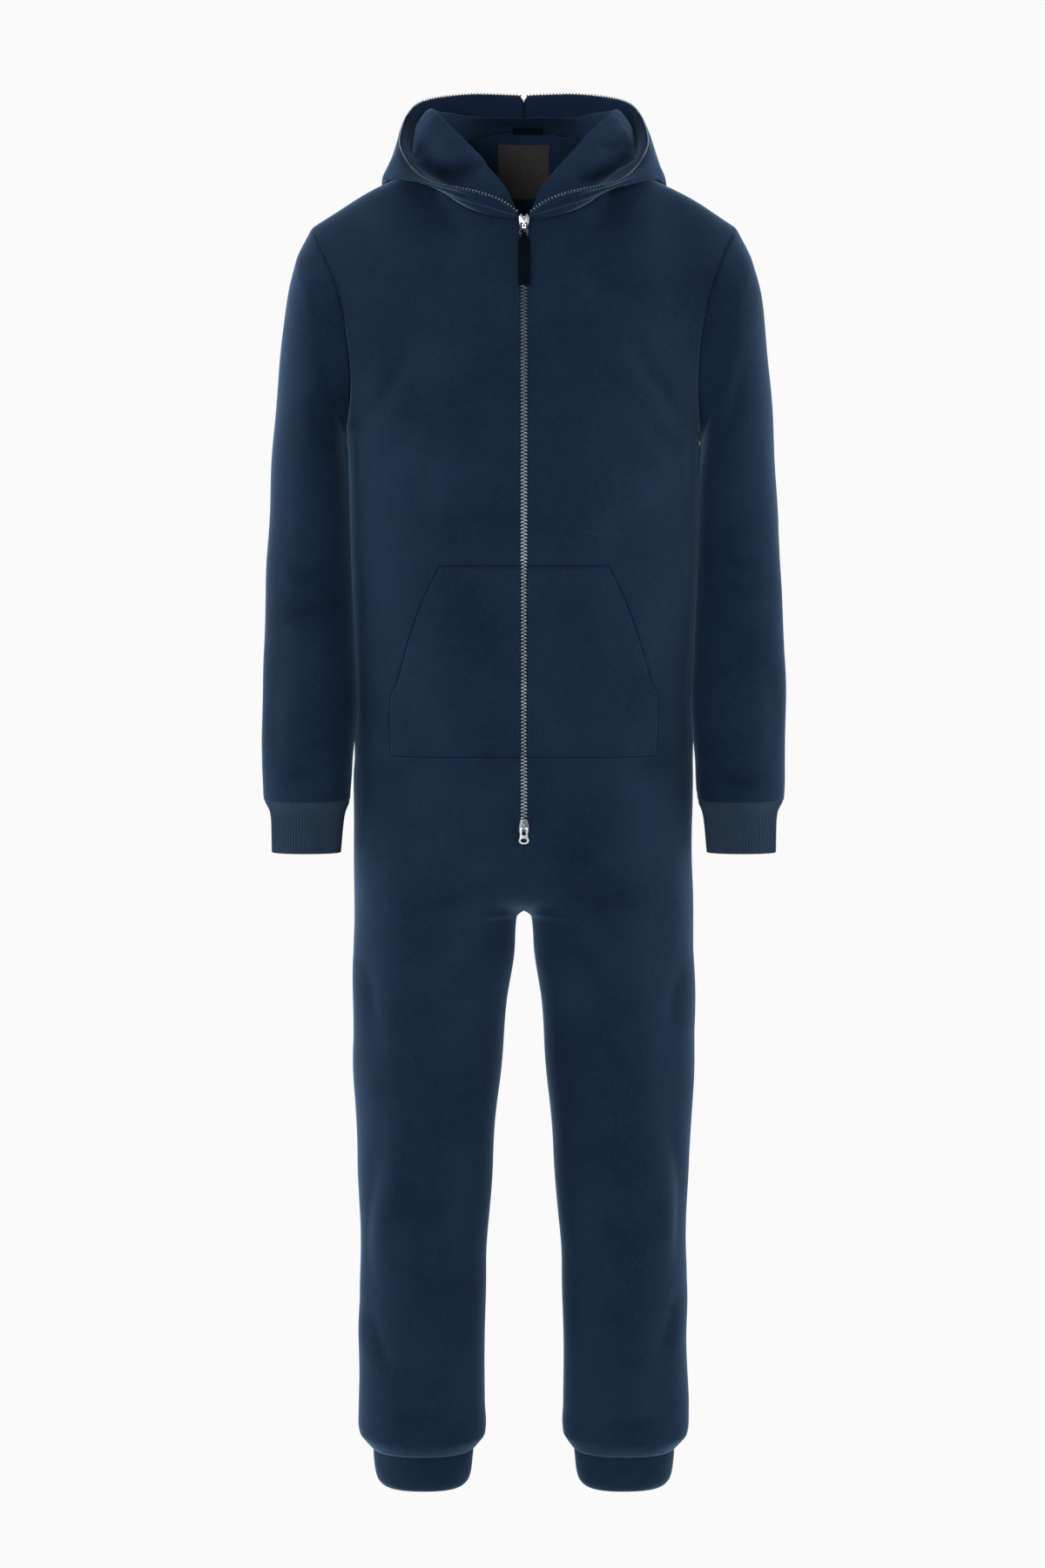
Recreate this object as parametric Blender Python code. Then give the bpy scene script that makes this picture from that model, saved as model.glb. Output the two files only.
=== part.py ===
"""Hooded one-piece fleece pajama: two-way front zip, split kangaroo pocket, ribbed cuffs.

Lengths are in millimetres while the forms are worked out, and metres once they are objects.
Heights count up from the leg hems. The front faces -Y, and the wearer's left is +X.
The origin is the base of the neck, where shoulders carry the garment.
"""
import math

import bpy
import numpy as np

# Overall sizes
ORIGIN_HEIGHT = 1575.0
FLEECE_WALL = 1.8
LINING_WALL = 1.2
RIB_WALL = 2.2
POCKET_WALL = 1.6
SEAM_GAP = 0.3

# Shoulders, neck and armholes
NECK_HALF_WIDTH = 101.0
NECK_CENTRE_Y = -12.0
NECK_HALF_DEPTH = 88.0
NECK_MEAN_HEIGHT = 1555.0
NECK_RISE = 60.0
NECK_SIDE_LIFT = 10.0
SHOULDER_X = 248.0
SHOULDER_HEIGHT = 1495.0
SHOULDER_ROUND = 8.0
ARMHOLE_X = 227.0
ARMHOLE_LEAN = 21.0
ARMHOLE_SCOOP = 22.0
ARMHOLE_HALF_DEPTH = 76.0
ARMHOLE_HEIGHT = 1375.0
ARMHOLE_HALF_HEIGHT = 120.0

# Sections
TORSO_ROUNDNESS = 2.4
LEG_ROUNDNESS = 2.2
SLEEVE_ROUNDNESS = 2.1
SIDE_SHARE = 0.4
HIP_HEIGHT = 850.0
CROTCH_HEIGHT = 695.0
WAIST_JOIN = 1003
THIGH_JOIN = 648

# Zip
ZIP_SLOT_HALF = 4.2
ZIP_BOTTOM = 786.0
CHAIN_HALF_WIDTH = 3.8
CHAIN_PROUD = 0.6
CHAIN_DEPTH = 2.9
TAPE_HALF_WIDTH = 14.0
TAPE_WALL = 1.0
HOOD_CHAIN_WIDTH = 3.0
HOOD_CHAIN_HEIGHT = 4.0
HOOD_FULLNESS = 14.0
LINING_CLEAR = 7.0
HOOD_FRONT_X = 6.4

# Counts along the grids
NECK_STRIPS = 4
SHOULDER_STRIPS = 6
ARMHOLE_STRIPS = 9
LEG_ROWS = 14
HOOD_STRIPS = 10
LINING_STRIPS = 12
SLEEVE_RIBS = 56
LEG_RIBS = 48
RIB_HEIGHT = 0.6
LEG_RIB_HEIGHT = 0.45

FRONT = -1.0
BACK = 1.0


class Table:
    """Rows of named columns; at() gives the columns after the first, smoothly between rows."""

    def __init__(self, names, *rows):
        self.names = names
        ordered = sorted(rows)
        self.key = np.array([row[0] for row in ordered], dtype=float)
        self.columns = np.array([row[1:] for row in ordered], dtype=float)
        step = np.diff(self.key)[:, None]
        slope = np.diff(self.columns, axis=0) / step
        self.slopes = np.zeros_like(self.columns)
        self.slopes[0] = slope[0]
        self.slopes[-1] = slope[-1]
        before, after = slope[:-1], slope[1:]
        same_way = before * after > 0
        total = np.where(same_way, before + after, 1.0)
        self.slopes[1:-1] = np.where(same_way, 2.0 * before * after / total, 0.0)

    def at(self, key):
        key = min(max(key, self.key[0]), self.key[-1])
        i = min(int(np.searchsorted(self.key, key, side="right")) - 1, len(self.key) - 2)
        span = self.key[i + 1] - self.key[i]
        s = (key - self.key[i]) / span
        rise = s * s * (3.0 - 2.0 * s)
        start = self.columns[i] + (self.columns[i + 1] - self.columns[i]) * rise
        return (
            start
            + self.slopes[i] * span * s * (1.0 - s) ** 2
            - self.slopes[i + 1] * span * s * s * (1.0 - s)
        )


TORSO = Table(
    ("height", "half_width", "front_y", "back_y"),
    (1620, 206.0, -100, 112),
    (1500, 206.0, -119, 132),
    (1440, 206.0, -130, 144),
    (1370, 206.0, -136, 150),
    (1310, 206.0, -137, 149),
    (1255, 206.0, -136, 144),
    (1193, 205.0, -132, 131),
    (1103, 203.5, -126, 119),
    (1003, 202.0, -121, 121),
    (903, 200.5, -117, 133),
    (823, 200.5, -114, 136),
    (777, 200.7, -112, 132),
    (695, 201.0, -103, 116),
)

LEG = Table(
    ("height", "inner_x", "outer_x", "front_y", "back_y"),
    (695, 0.15, 201.0, -103.0, 116.0),
    (688, 7.5, 201.0, -102.5, 115.5),
    (648, 11.0, 201.5, -98.0, 110.0),
    (585, 21.0, 202.0, -92.0, 103.0),
    (522, 26.0, 202.0, -87.0, 95.0),
    (460, 32.0, 200.0, -83.0, 88.0),
    (397, 37.0, 197.5, -79.0, 83.0),
    (333, 41.0, 197.0, -76.0, 80.0),
    (270, 46.0, 196.0, -72.0, 78.0),
    (207, 47.0, 196.0, -68.0, 75.0),
    (143, 48.0, 196.0, -64.0, 70.0),
    (100, 47.3, 197.0, -61.5, 66.5),
    (79, 46.0, 197.0, -60.0, 65.0),
    (66, 47.0, 195.0, -58.5, 62.5),
    (58, 51.5, 190.0, -54.5, 57.5),
    (46, 60.0, 181.0, -44.2, 44.2),
)

SLEEVE = Table(
    ("ring", "outer_x", "outer_height", "inner_x", "inner_height", "half_depth", "centre_y"),
    (1, 266.0, 1457, 208.6, 1243, 77.0, 0),
    (2, 275.5, 1420, 209.2, 1226, 78.0, 0),
    (3, 283.0, 1368, 209.2, 1202, 76.5, 0),
    (4, 289.0, 1305, 208.8, 1170, 73.0, -1),
    (5, 294.5, 1235, 208.3, 1130, 69.0, -4),
    (6, 299.0, 1150, 207.6, 1078, 64.0, -9),
    (7, 302.5, 1060, 206.8, 1015, 59.0, -16),
    (8, 305.0, 965, 206.0, 945, 53.5, -24),
    (9, 306.5, 880, 207.0, 878, 47.5, -30),
    (10, 305.5, 842, 209.2, 842, 43.0, -33),
    (11, 299.0, 828, 211.6, 828, 30.2, -34),
)

SLEEVE_CUFF = Table(
    ("height", "inner_x", "outer_x", "half_depth", "centre_y"),
    (827.7, 211.8, 298.8, 30.0, -34.0),
    (767.0, 216.0, 297.0, 26.5, -37.0),
)

LEG_CUFF = Table(
    ("height", "inner_x", "outer_x", "half_depth"),
    (45.7, 60.2, 180.8, 44.0),
    (22.0, 62.6, 178.2, 42.0),
    (0.0, 66.0, 174.0, 38.5),
)

# Loops of one half of the hood, by the angle round the neck from the zip to the centre back
HOOD_UNDER = Table(
    ("angle", "x", "y", "height"),
    (0, 6.4, -101.0, 1496.4),
    (30, 57.0, -92.5, 1508.0),
    (55, 96.0, -66.0, 1533.0),
    (75, 105.5, -38.0, 1557.5),
    (90, 113.0, -6.0, 1574.0),
    (105, 124.0, 22.0, 1569.0),
    (120, 124.0, 54.0, 1559.0),
    (135, 102.0, 88.0, 1532.0),
    (150, 74.0, 109.0, 1524.0),
    (165, 38.0, 117.0, 1521.0),
    (180, 0.15, 120.0, 1520.0),
)

HOOD_ROLL = Table(
    ("angle", "x", "y", "height"),
    (0, 6.4, -101.7, 1497.3),
    (30, 63.0, -96.0, 1515.0),
    (55, 117.0, -68.0, 1537.0),
    (75, 151.0, -36.0, 1546.0),
    (90, 163.5, 0.0, 1549.0),
    (105, 165.0, 42.0, 1539.0),
    (120, 154.0, 88.0, 1510.0),
    (135, 128.0, 124.0, 1474.0),
    (150, 91.0, 140.0, 1446.0),
    (165, 48.0, 148.0, 1431.0),
    (180, 0.15, 151.0, 1426.0),
)

HOOD_OUTER = Table(
    ("angle", "x", "y", "height"),
    (0, 6.4, -102.4, 1498.3),
    (30, 69.0, -95.5, 1523.0),
    (55, 122.0, -65.0, 1543.0),
    (75, 147.0, -32.0, 1561.0),
    (90, 157.0, 3.0, 1572.0),
    (105, 160.0, 46.0, 1572.0),
    (120, 152.0, 96.0, 1565.0),
    (135, 129.0, 138.0, 1556.0),
    (150, 93.0, 168.0, 1548.0),
    (165, 46.0, 182.0, 1543.0),
    (180, 0.15, 186.0, 1540.0),
)

HOOD_EDGE = Table(
    ("angle", "x", "y", "height"),
    (0, 5.2, -101.8, 1502.0),
    (12, 28.0, -101.0, 1517.0),
    (25, 60.0, -93.0, 1528.0),
    (40, 96.0, -77.0, 1536.0),
    (55, 119.0, -58.0, 1548.0),
    (72, 137.0, -28.0, 1572.0),
    (90, 145.0, 5.0, 1597.0),
    (108, 141.0, 40.0, 1624.0),
    (126, 126.0, 76.0, 1650.0),
    (144, 98.0, 102.0, 1662.0),
    (162, 50.0, 119.0, 1668.0),
    (180, 1.7, 124.0, 1667.0),
)

HOOD_GUTTER = Table(
    ("angle", "x", "y", "height"),
    (0, 6.6, -98.3, 1498.9),
    (20, 38.0, -88.0, 1521.0),
    (40, 80.0, -61.0, 1540.0),
    (60, 107.0, -33.0, 1568.0),
    (80, 124.0, -5.0, 1584.0),
    (100, 125.0, 27.0, 1596.0),
    (120, 120.0, 70.0, 1585.0),
    (140, 98.0, 112.0, 1530.0),
    (160, 52.0, 141.0, 1462.0),
    (180, 0.15, 150.0, 1442.0),
)

HOOD_CREST = Table(
    ("angle", "x", "y", "height"),
    (0, 6.6, -98.2, 1498.2),
    (20, 19.0, -83.0, 1530.0),
    (40, 43.0, -57.0, 1562.0),
    (60, 74.0, -22.0, 1601.0),
    (80, 100.0, 15.0, 1628.0),
    (100, 108.0, 45.0, 1638.0),
    (120, 90.0, 70.0, 1636.0),
    (140, 60.0, 81.0, 1629.0),
    (160, 29.0, 84.0, 1623.0),
    (180, 0.15, 84.0, 1620.0),
)

HOOD_ANGLES = tuple(11.25 * i for i in range(17))

POCKET = Table(
    ("height", "outer_x"),
    (1103, 98.0),
    (1088, 106.0),
    (1060, 118.5),
    (1017, 134.0),
    (967, 149.0),
    (952, 156.0),
    (930, 156.5),
    (881, 155.0),
)

POCKET_COLUMNS = (0.0, 0.19, 0.36, 0.515, 0.716, 0.89, 1.0)

LABEL_HALF_WIDTH = 31.0
LABEL_ROWS = (1.05, 2.0, 3.0, 3.28)
LABEL_WALL = 1.0
HANGER_SIZE = (35.0, 1.0, 8.0)
HANGER_CENTRE = (4.0, 70.2, 1616.5)

# Sliders, in their own frame: across, out of the cloth, up along the zip
SLIDER_LENGTH = 17.0
SLIDER_WIDE = 5.9
SLIDER_NARROW = 4.4
SLIDER_WALL = 2.2
BRIDGE_HALF_WIDTH = 1.3
BRIDGE_FOOT = 1.5
BRIDGE_REACH = 5.4
BRIDGE_CLEAR = 2.6
BRIDGE_BAR = 1.2
PIVOT_ALONG = -2.4
PIVOT_OUT = 1.3
TOP_SLIDER_HEIGHT = 1490.5
BOTTOM_SLIDER_HEIGHT = 804.5

# Pulls, measured down from their pivots: slot end, ring centre, ring and hole half sizes, roundness
PULL_BAR = 0.75
PULL_WALL = 1.4
PULL_HALF_WIDTH = 4.4
PULL_SLOT_HALF = 2.3
TOP_PULL = (-6.6, -10.6, 5.2, 3.7, 3.8, 2.3, 3.2)
BOTTOM_PULL = (-8.2, -14.2, 6.0, 4.3, 3.9, 2.5, 2.0)
TOP_PULL_LEAN = 5.0
STRAP_WIDTH = 13.0
STRAP_NECK_HALF = 2.9
STRAP_NECK = 3.6
STRAP_SHOULDER = 8.0
STRAP_LENGTH = 61.0
STRAP_LAYER = 0.9
STRAP_EYE = 1.4


def remove_old_objects():
    for item in list(bpy.data.objects):
        bpy.data.objects.remove(item, do_unlink=True)


def cloth_material(name, colour, roughness, metallic=0.0):
    material = bpy.data.materials.new(name)
    material.use_nodes = True
    shader = material.node_tree.nodes["Principled BSDF"]
    shader.inputs["Base Color"].default_value = (*colour, 1.0)
    shader.inputs["Roughness"].default_value = roughness
    shader.inputs["Metallic"].default_value = metallic
    material.diffuse_color = (*colour, 1.0)
    return material


def add_object(name, points, faces, material, mirrored=False):
    """Mesh object from millimetre points; the mirrored one is the wearer's right."""
    points = np.array(points, dtype=float)
    points[:, 2] -= ORIGIN_HEIGHT
    points *= 0.001
    if mirrored:
        points[:, 0] *= -1.0
        faces = [tuple(reversed(face)) for face in faces]
    mesh = bpy.data.meshes.new(name)
    mesh.from_pydata(points.tolist(), [], faces)
    mesh.update()
    mesh.materials.append(material)
    item = bpy.data.objects.new(name, mesh)
    bpy.context.collection.objects.link(item)
    return item


def unit(vectors):
    return vectors / np.linalg.norm(vectors, axis=-1, keepdims=True)


def outward(grid, closed, sign):
    """Normals of a grid of points, rows by columns."""
    if closed:
        along = np.roll(grid, -1, axis=1) - np.roll(grid, 1, axis=1)
    else:
        along = np.gradient(grid, axis=1)
    down = np.gradient(grid, axis=0)
    return unit(np.cross(along, down)) * sign


def wall_mesh(outer, inner, closed, sign):
    """Triangles of a closed wall between two equal grids."""
    rows, columns = outer.shape[:2]
    points = np.concatenate([outer.reshape(-1, 3), inner.reshape(-1, 3)])
    shift = rows * columns
    faces = []

    def quad(a, b, c, d):
        if sign < 0:
            a, b, c, d = d, c, b, a
        if np.linalg.norm(points[a] - points[c]) > np.linalg.norm(points[b] - points[d]):
            a, b, c, d = b, c, d, a
        faces.append((a, b, c))
        faces.append((a, c, d))

    strips = columns if closed else columns - 1
    for i in range(rows - 1):
        for j in range(strips):
            k = (j + 1) % columns
            a, b = i * columns + j, i * columns + k
            c, d = (i + 1) * columns + k, (i + 1) * columns + j
            quad(a, b, c, d)
            quad(shift + d, shift + c, shift + b, shift + a)
    last = (rows - 1) * columns
    for j in range(strips):
        k = (j + 1) % columns
        quad(j, shift + j, shift + k, k)
        quad(last + k, shift + last + k, shift + last + j, last + j)
    if not closed:
        for i in range(rows - 1):
            a, b = i * columns, (i + 1) * columns
            quad(b, shift + b, shift + a, a)
            a, b = a + columns - 1, b + columns - 1
            quad(a, shift + a, shift + b, b)
    return points, faces


def seam_flat(normals, rows, columns, axis):
    """Edge normals laid into the seam's plane, so that two walls meet edge to edge."""
    normals[rows, columns, axis] = 0.0
    normals[rows, columns] = unit(normals[rows, columns])


def power(value, exponent):
    return math.copysign(abs(value) ** exponent, value)


def zip_slot(height):
    """Half the gap between the two fronts: the zip's width, closing below its end."""
    if height > ZIP_BOTTOM:
        return ZIP_SLOT_HALF
    return SEAM_GAP / 2


def centre_edge(face, height):
    return zip_slot(height) if face == FRONT else SEAM_GAP / 2


def neck_point(angle, edge):
    """Neck seam, by the angle round the neck in radians from the zip."""
    x = edge + (NECK_HALF_WIDTH - edge) * math.sin(angle)
    y = NECK_CENTRE_Y - NECK_HALF_DEPTH * math.cos(angle)
    height = NECK_MEAN_HEIGHT - NECK_RISE * math.cos(angle)
    return np.array([x, y, height + NECK_SIDE_LIFT * math.sin(angle) ** 6])


def neck_share(face):
    """Share of the way from a panel's centre edge to its shoulder tip where the neck ends."""
    edge = centre_edge(face, SHOULDER_HEIGHT)
    return (NECK_HALF_WIDTH - edge) / (SHOULDER_X - edge)


def top_point(face, share):
    """Neckline and shoulder seam of a panel, by the share of the way out from the centre."""
    neck = neck_share(face)
    if share <= neck:
        lean = math.asin(min(share / neck, 1.0))
        angle = lean if face == FRONT else math.pi - lean
        return neck_point(angle, centre_edge(face, SHOULDER_HEIGHT))
    side = neck_point(math.pi / 2, 0.0)
    s = (share - neck) / (1.0 - neck)
    point = side + (np.array([SHOULDER_X, 0.0, SHOULDER_HEIGHT]) - side) * s
    point[2] += SHOULDER_ROUND * math.sin(math.pi * s)
    return point


def armhole_point(turn):
    """Armhole seam: 0 at the shoulder, a half turn at the underarm, by way of the front."""
    c, s = math.cos(turn), math.sin(turn)
    x = ARMHOLE_X + ARMHOLE_LEAN * c - ARMHOLE_SCOOP * s * s
    return np.array([x, -ARMHOLE_HALF_DEPTH * s, ARMHOLE_HEIGHT + ARMHOLE_HALF_HEIGHT * c])


def armhole_normal(turn):
    c = math.cos(turn)
    return unit(np.array([0.375 * (1.0 + c), -math.sin(turn), c]))


def round_off(share, roundness):
    return max(1.0 - share**roundness, 0.0) ** (1.0 / roundness)


def yoke_point(face, turn, share):
    """Panel above the underarm. turn runs down the armhole, share runs out from the centre."""
    edge_t = (1.0 - math.cos(turn)) / 2
    t = (turn / math.pi) ** 1.6
    t += (edge_t - t) * share**3
    top = top_point(face, share)
    seam = armhole_point(turn)
    height = top[2] + (ARMHOLE_HEIGHT - ARMHOLE_HALF_HEIGHT - top[2]) * t
    edge = centre_edge(face, height)
    depth = TORSO.at(height)[1 if face == FRONT else 2]
    out = min(share / 0.68, 1.0)
    ease = (2.0 * t - t * t) ** (0.95 - 0.57 * out * out * (3.0 - 2.0 * out))
    full = round_off(share, TORSO_ROUNDNESS)
    y = top[1] * (1.0 - ease) + full * depth * ease + face * abs(seam[1]) * (1.0 - full) ** 1.6
    return np.array([edge + (seam[0] - edge) * share, y, height])


def leg_section(face, height, angle):
    """Half a leg's section: angle 0 at the inseam, a half turn at the side seam."""
    inner, outer, front, back = LEG.at(height)
    c = power(math.cos(angle), 2.0 / LEG_ROUNDNESS)
    s = abs(math.sin(angle)) ** (2.0 / LEG_ROUNDNESS)
    x = (inner + outer) / 2 - (outer - inner) / 2 * c
    return x, (front if face == FRONT else back) * s


def lower_point(face, height, angle):
    """Panel below the underarm; angle runs a quarter turn from the centre to the side."""
    if height < CROTCH_HEIGHT:
        x, y = leg_section(face, height, 2.0 * angle)
        return np.array([x, y, height])
    share = math.sin(angle) ** (2.0 / TORSO_ROUNDNESS)
    half_width, front, back = TORSO.at(height)
    depth = front if face == FRONT else back
    edge = centre_edge(face, height)
    x = edge + (half_width - edge) * share
    if height >= HIP_HEIGHT:
        return np.array([x, depth * round_off(share, TORSO_ROUNDNESS), height])
    s = (HIP_HEIGHT - height) / (HIP_HEIGHT - CROTCH_HEIGHT)
    blend = s * s * (3.0 - 2.0 * s)
    leg_x = leg_section(face, CROTCH_HEIGHT, 2.0 * angle)[0]
    x = max(x + (leg_x - x) * blend, edge)
    widest = half_width / 2 * blend
    roundness = TORSO_ROUNDNESS + (LEG_ROUNDNESS - TORSO_ROUNDNESS) * blend
    if x > widest:
        y = depth * round_off(min((x - widest) / (half_width - widest), 1.0), roundness)
    else:
        centre = depth * math.sqrt(max(1.0 - s**8, 0.0))
        y = centre + (depth - centre) * round_off((widest - x) / widest, roundness)
    return np.array([x, y, height])


def column_shares(face):
    """Columns of a panel: even steps round the neck, then out to the side, alike on both faces."""
    neck = neck_share(face)
    shares = [neck * math.sin(math.pi / 2 * i / NECK_STRIPS) for i in range(NECK_STRIPS)]
    first = math.asin(SIDE_SHARE ** (TORSO_ROUNDNESS / 2))
    for i in range(SHOULDER_STRIPS + 1):
        angle = first + (math.pi / 2 - first) * i / SHOULDER_STRIPS
        out = (math.sin(angle) ** (2.0 / TORSO_ROUNDNESS) - SIDE_SHARE) / (1.0 - SIDE_SHARE)
        shares.append(neck + (1.0 - neck) * out)
    return shares


def panel_heights():
    torso = [1193, 1103, WAIST_JOIN, 920, HIP_HEIGHT]
    crotch = [815, ZIP_BOTTOM + 1.0, ZIP_BOTTOM - 1.0, 752, 726, 709, 699]
    leg = [694.99, 688, THIGH_JOIN, 585, 522, 460, 380, 300, 207, 130, 79, 66, 58, 46]
    return torso + crotch + leg


def panel_grid(face):
    """Outer points of a front or back, from shoulder to leg cuff."""
    shares = column_shares(face)
    angles = [math.asin(min(share, 1.0) ** (TORSO_ROUNDNESS / 2)) for share in shares]
    rows = []
    for i in range(ARMHOLE_STRIPS + 1):
        turn = math.pi * i / ARMHOLE_STRIPS
        rows.append([yoke_point(face, turn, share) for share in shares])
    for height in panel_heights():
        rows.append([lower_point(face, height, a) for a in angles])
    return np.array(rows)


def make_panel(names, face, mirrored, material):
    """One front or back from shoulder to ankle in three lengths, set back by half a gap at seams."""
    grid = panel_grid(face)
    normals = outward(grid, False, face)
    crotch = len(grid) - LEG_ROWS
    side = slice(ARMHOLE_STRIPS, None)
    inseam = slice(crotch + 1, None)
    whole = slice(None)
    seam_flat(normals, slice(None, crotch), 0, 0)
    seam_flat(normals, inseam, 0, 1)
    seam_flat(normals, side, -1, 1)
    seam_flat(normals, 0, slice(NECK_STRIPS, None), 1)
    heights = panel_heights()
    joins = [ARMHOLE_STRIPS + 1 + heights.index(height) for height in (WAIST_JOIN, THIGH_JOIN)]
    for row in joins + [-1]:
        seam_flat(normals, row, whole, 2)
    normals[crotch, 0] = (0.0, 0.0, -1.0)
    for i in range(ARMHOLE_STRIPS):
        turn = math.pi * i / ARMHOLE_STRIPS
        shared = armhole_normal(turn) * np.array([1.0, -face, 1.0])
        weight = min(max(1.0 + 2.0 * math.cos(turn), 0.0), 1.0)
        normals[i, -1] = unit(shared * weight + normals[i, -1] * (1.0 - weight))
    inner = grid - normals * FLEECE_WALL
    nudge = np.array([0.0, face * SEAM_GAP / 2, 0.0])
    for points in (grid, inner):
        points[side, -1] += nudge
        points[0, NECK_STRIPS:] += nudge
        points[crotch:, 0] += nudge
    starts, ends = [0] + joins, joins + [len(grid) - 1]
    for name, start, end in zip(names, starts, ends):
        walls = []
        for points in (grid, inner):
            length = points[start : end + 1].copy()
            if start:
                length[0, :, 2] -= SEAM_GAP / 2
            if end < len(grid) - 1:
                length[-1, :, 2] += SEAM_GAP / 2
            walls.append(length)
        points, faces = wall_mesh(*walls, False, face)
        add_object(name, points, faces, material, mirrored)


def ring(centre, half, half_depth, roundness, count, start=0.0):
    """Closed ring of points: 0 on the half vector, a quarter turn towards the front."""
    points = []
    for i in range(count):
        a = start + 2.0 * math.pi * i / count
        c = power(math.cos(a), 2.0 / roundness)
        s = power(math.sin(a), 2.0 / roundness)
        points.append(centre + half * c + np.array([0.0, -half_depth * s, 0.0]))
    return np.array(points)


def sleeve_grid():
    count = 2 * ARMHOLE_STRIPS
    turns = [2.0 * math.pi * i / count for i in range(count)]
    rows = [np.array([armhole_point(turn) + (SEAM_GAP, 0.0, 0.0) for turn in turns])]
    for key in SLEEVE.key:
        outer_x, outer_h, inner_x, inner_h, half_depth, centre_y = SLEEVE.at(key)
        centre = np.array([(outer_x + inner_x) / 2, centre_y, (outer_h + inner_h) / 2])
        half = np.array([(outer_x - inner_x) / 2, 0.0, (outer_h - inner_h) / 2])
        rows.append(ring(centre, half, half_depth, SLEEVE_ROUNDNESS, count))
    return np.array(rows)


def make_sleeve(name, mirrored, material):
    grid = sleeve_grid()
    normals = outward(grid, True, 1.0)
    count = grid.shape[1]
    for j in range(count):
        turn = 2.0 * math.pi * j / count
        weight = min(max(1.0 + 2.0 * math.cos(turn), 0.0), 1.0)
        normals[0, j] = unit(armhole_normal(turn) * weight + normals[0, j] * (1.0 - weight))
    seam_flat(normals, -1, slice(None), 2)
    points, faces = wall_mesh(grid, grid - normals * FLEECE_WALL, True, 1.0)
    return add_object(name, points, faces, material, mirrored)


def make_cuff(name, table, roundness, ribs, rib_height, mirrored, material):
    """Knitted cuff: ribs stand out of a plain tube."""
    rows = []
    for key in table.key[::-1]:
        values = table.at(key)
        centre_y = values[3] if len(values) > 3 else 0.0
        centre = np.array([(values[0] + values[1]) / 2, centre_y, key])
        half = np.array([(values[1] - values[0]) / 2, 0.0, 0.0])
        rows.append(ring(centre, half, values[2], roundness, 2 * ribs))
    grid = np.array(rows)
    normals = outward(grid, True, 1.0)
    seam_flat(normals, 0, slice(None), 2)
    seam_flat(normals, -1, slice(None), 2)
    inner = grid - normals * RIB_WALL
    grid[:, 1::2] -= normals[:, 1::2] * rib_height
    points, faces = wall_mesh(grid, inner, True, 1.0)
    return add_object(name, points, faces, material, mirrored)


def spline(knots, count):
    """Smooth run of points through a profile's knots."""
    knots = np.array(knots)
    slopes = np.gradient(knots, axis=0)
    points = []
    for u in np.linspace(0.0, len(knots) - 1.0, count):
        i = min(int(u), len(knots) - 2)
        s = u - i
        rise = s * s * (3.0 - 2.0 * s)
        point = knots[i] + (knots[i + 1] - knots[i]) * rise
        point = point + slopes[i] * s * (1.0 - s) ** 2 - slopes[i + 1] * s * s * (1.0 - s)
        points.append(point)
    return np.array(points)


def hood_frame(degrees):
    """Edge point of the hood with its three directions: along, up out of the cloth, outward."""
    edge = HOOD_EDGE.at(degrees)
    along = unit(HOOD_EDGE.at(min(degrees + 2.0, 180.0)) - HOOD_EDGE.at(max(degrees - 2.0, 0.0)))
    cloth = (HOOD_OUTER.at(degrees) + HOOD_GUTTER.at(degrees)) / 2
    up = edge - cloth
    up = unit(up - along * np.dot(up, along))
    out = np.cross(along, up)
    return edge, along, up, out


def centre_back(points, degrees):
    """Keeps the last profile of a half at the hood's centre seam, but for its notched edge."""
    if degrees == 180:
        points[1:-1, 0] = SEAM_GAP / 2
    return points


def neck_seam(degrees):
    """Neck seam on the hood's side, along the straight runs between the panels' columns."""
    step = 90.0 / NECK_STRIPS
    i = min(int(degrees / step), 2 * NECK_STRIPS - 1)
    edge = centre_edge(FRONT if degrees < 90 else BACK, SHOULDER_HEIGHT)
    first, second = [neck_point(math.radians(step * k), edge) for k in (i, i + 1)]
    share = (degrees - step * i) / step
    if i == 0:
        share = max(share, (HOOD_FRONT_X - first[0]) / (second[0] - first[0]))
    return first + (second - first) * share


def hood_outer_profile(degrees):
    angle = math.radians(degrees)
    edge, along, up, out = hood_frame(degrees)
    start = neck_seam(degrees)
    knots = [
        start + np.array([0.0, 0.0, SEAM_GAP]),
        HOOD_UNDER.at(degrees),
        HOOD_ROLL.at(degrees),
        HOOD_OUTER.at(degrees),
        edge - up * (HOOD_CHAIN_HEIGHT / 2 + SEAM_GAP) + out * (FLEECE_WALL + SEAM_GAP / 2),
    ]
    fullness = 2.0 + HOOD_FULLNESS * min(max((degrees - 80.0) / 60.0, 0.0), 1.0)
    outward_way = unit(np.array([math.sin(angle), -math.cos(angle), 0.0])) * fullness
    low_inside = knots[1] + (knots[2] - knots[1]) * 0.75 - outward_way * 0.5
    low_outside = knots[2] + (knots[3] - knots[2]) * 0.3 + outward_way * 0.6
    knots = knots[:2] + [low_inside, knots[2], low_outside] + knots[3:]
    return centre_back(spline(knots, HOOD_STRIPS + 1), degrees)


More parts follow.
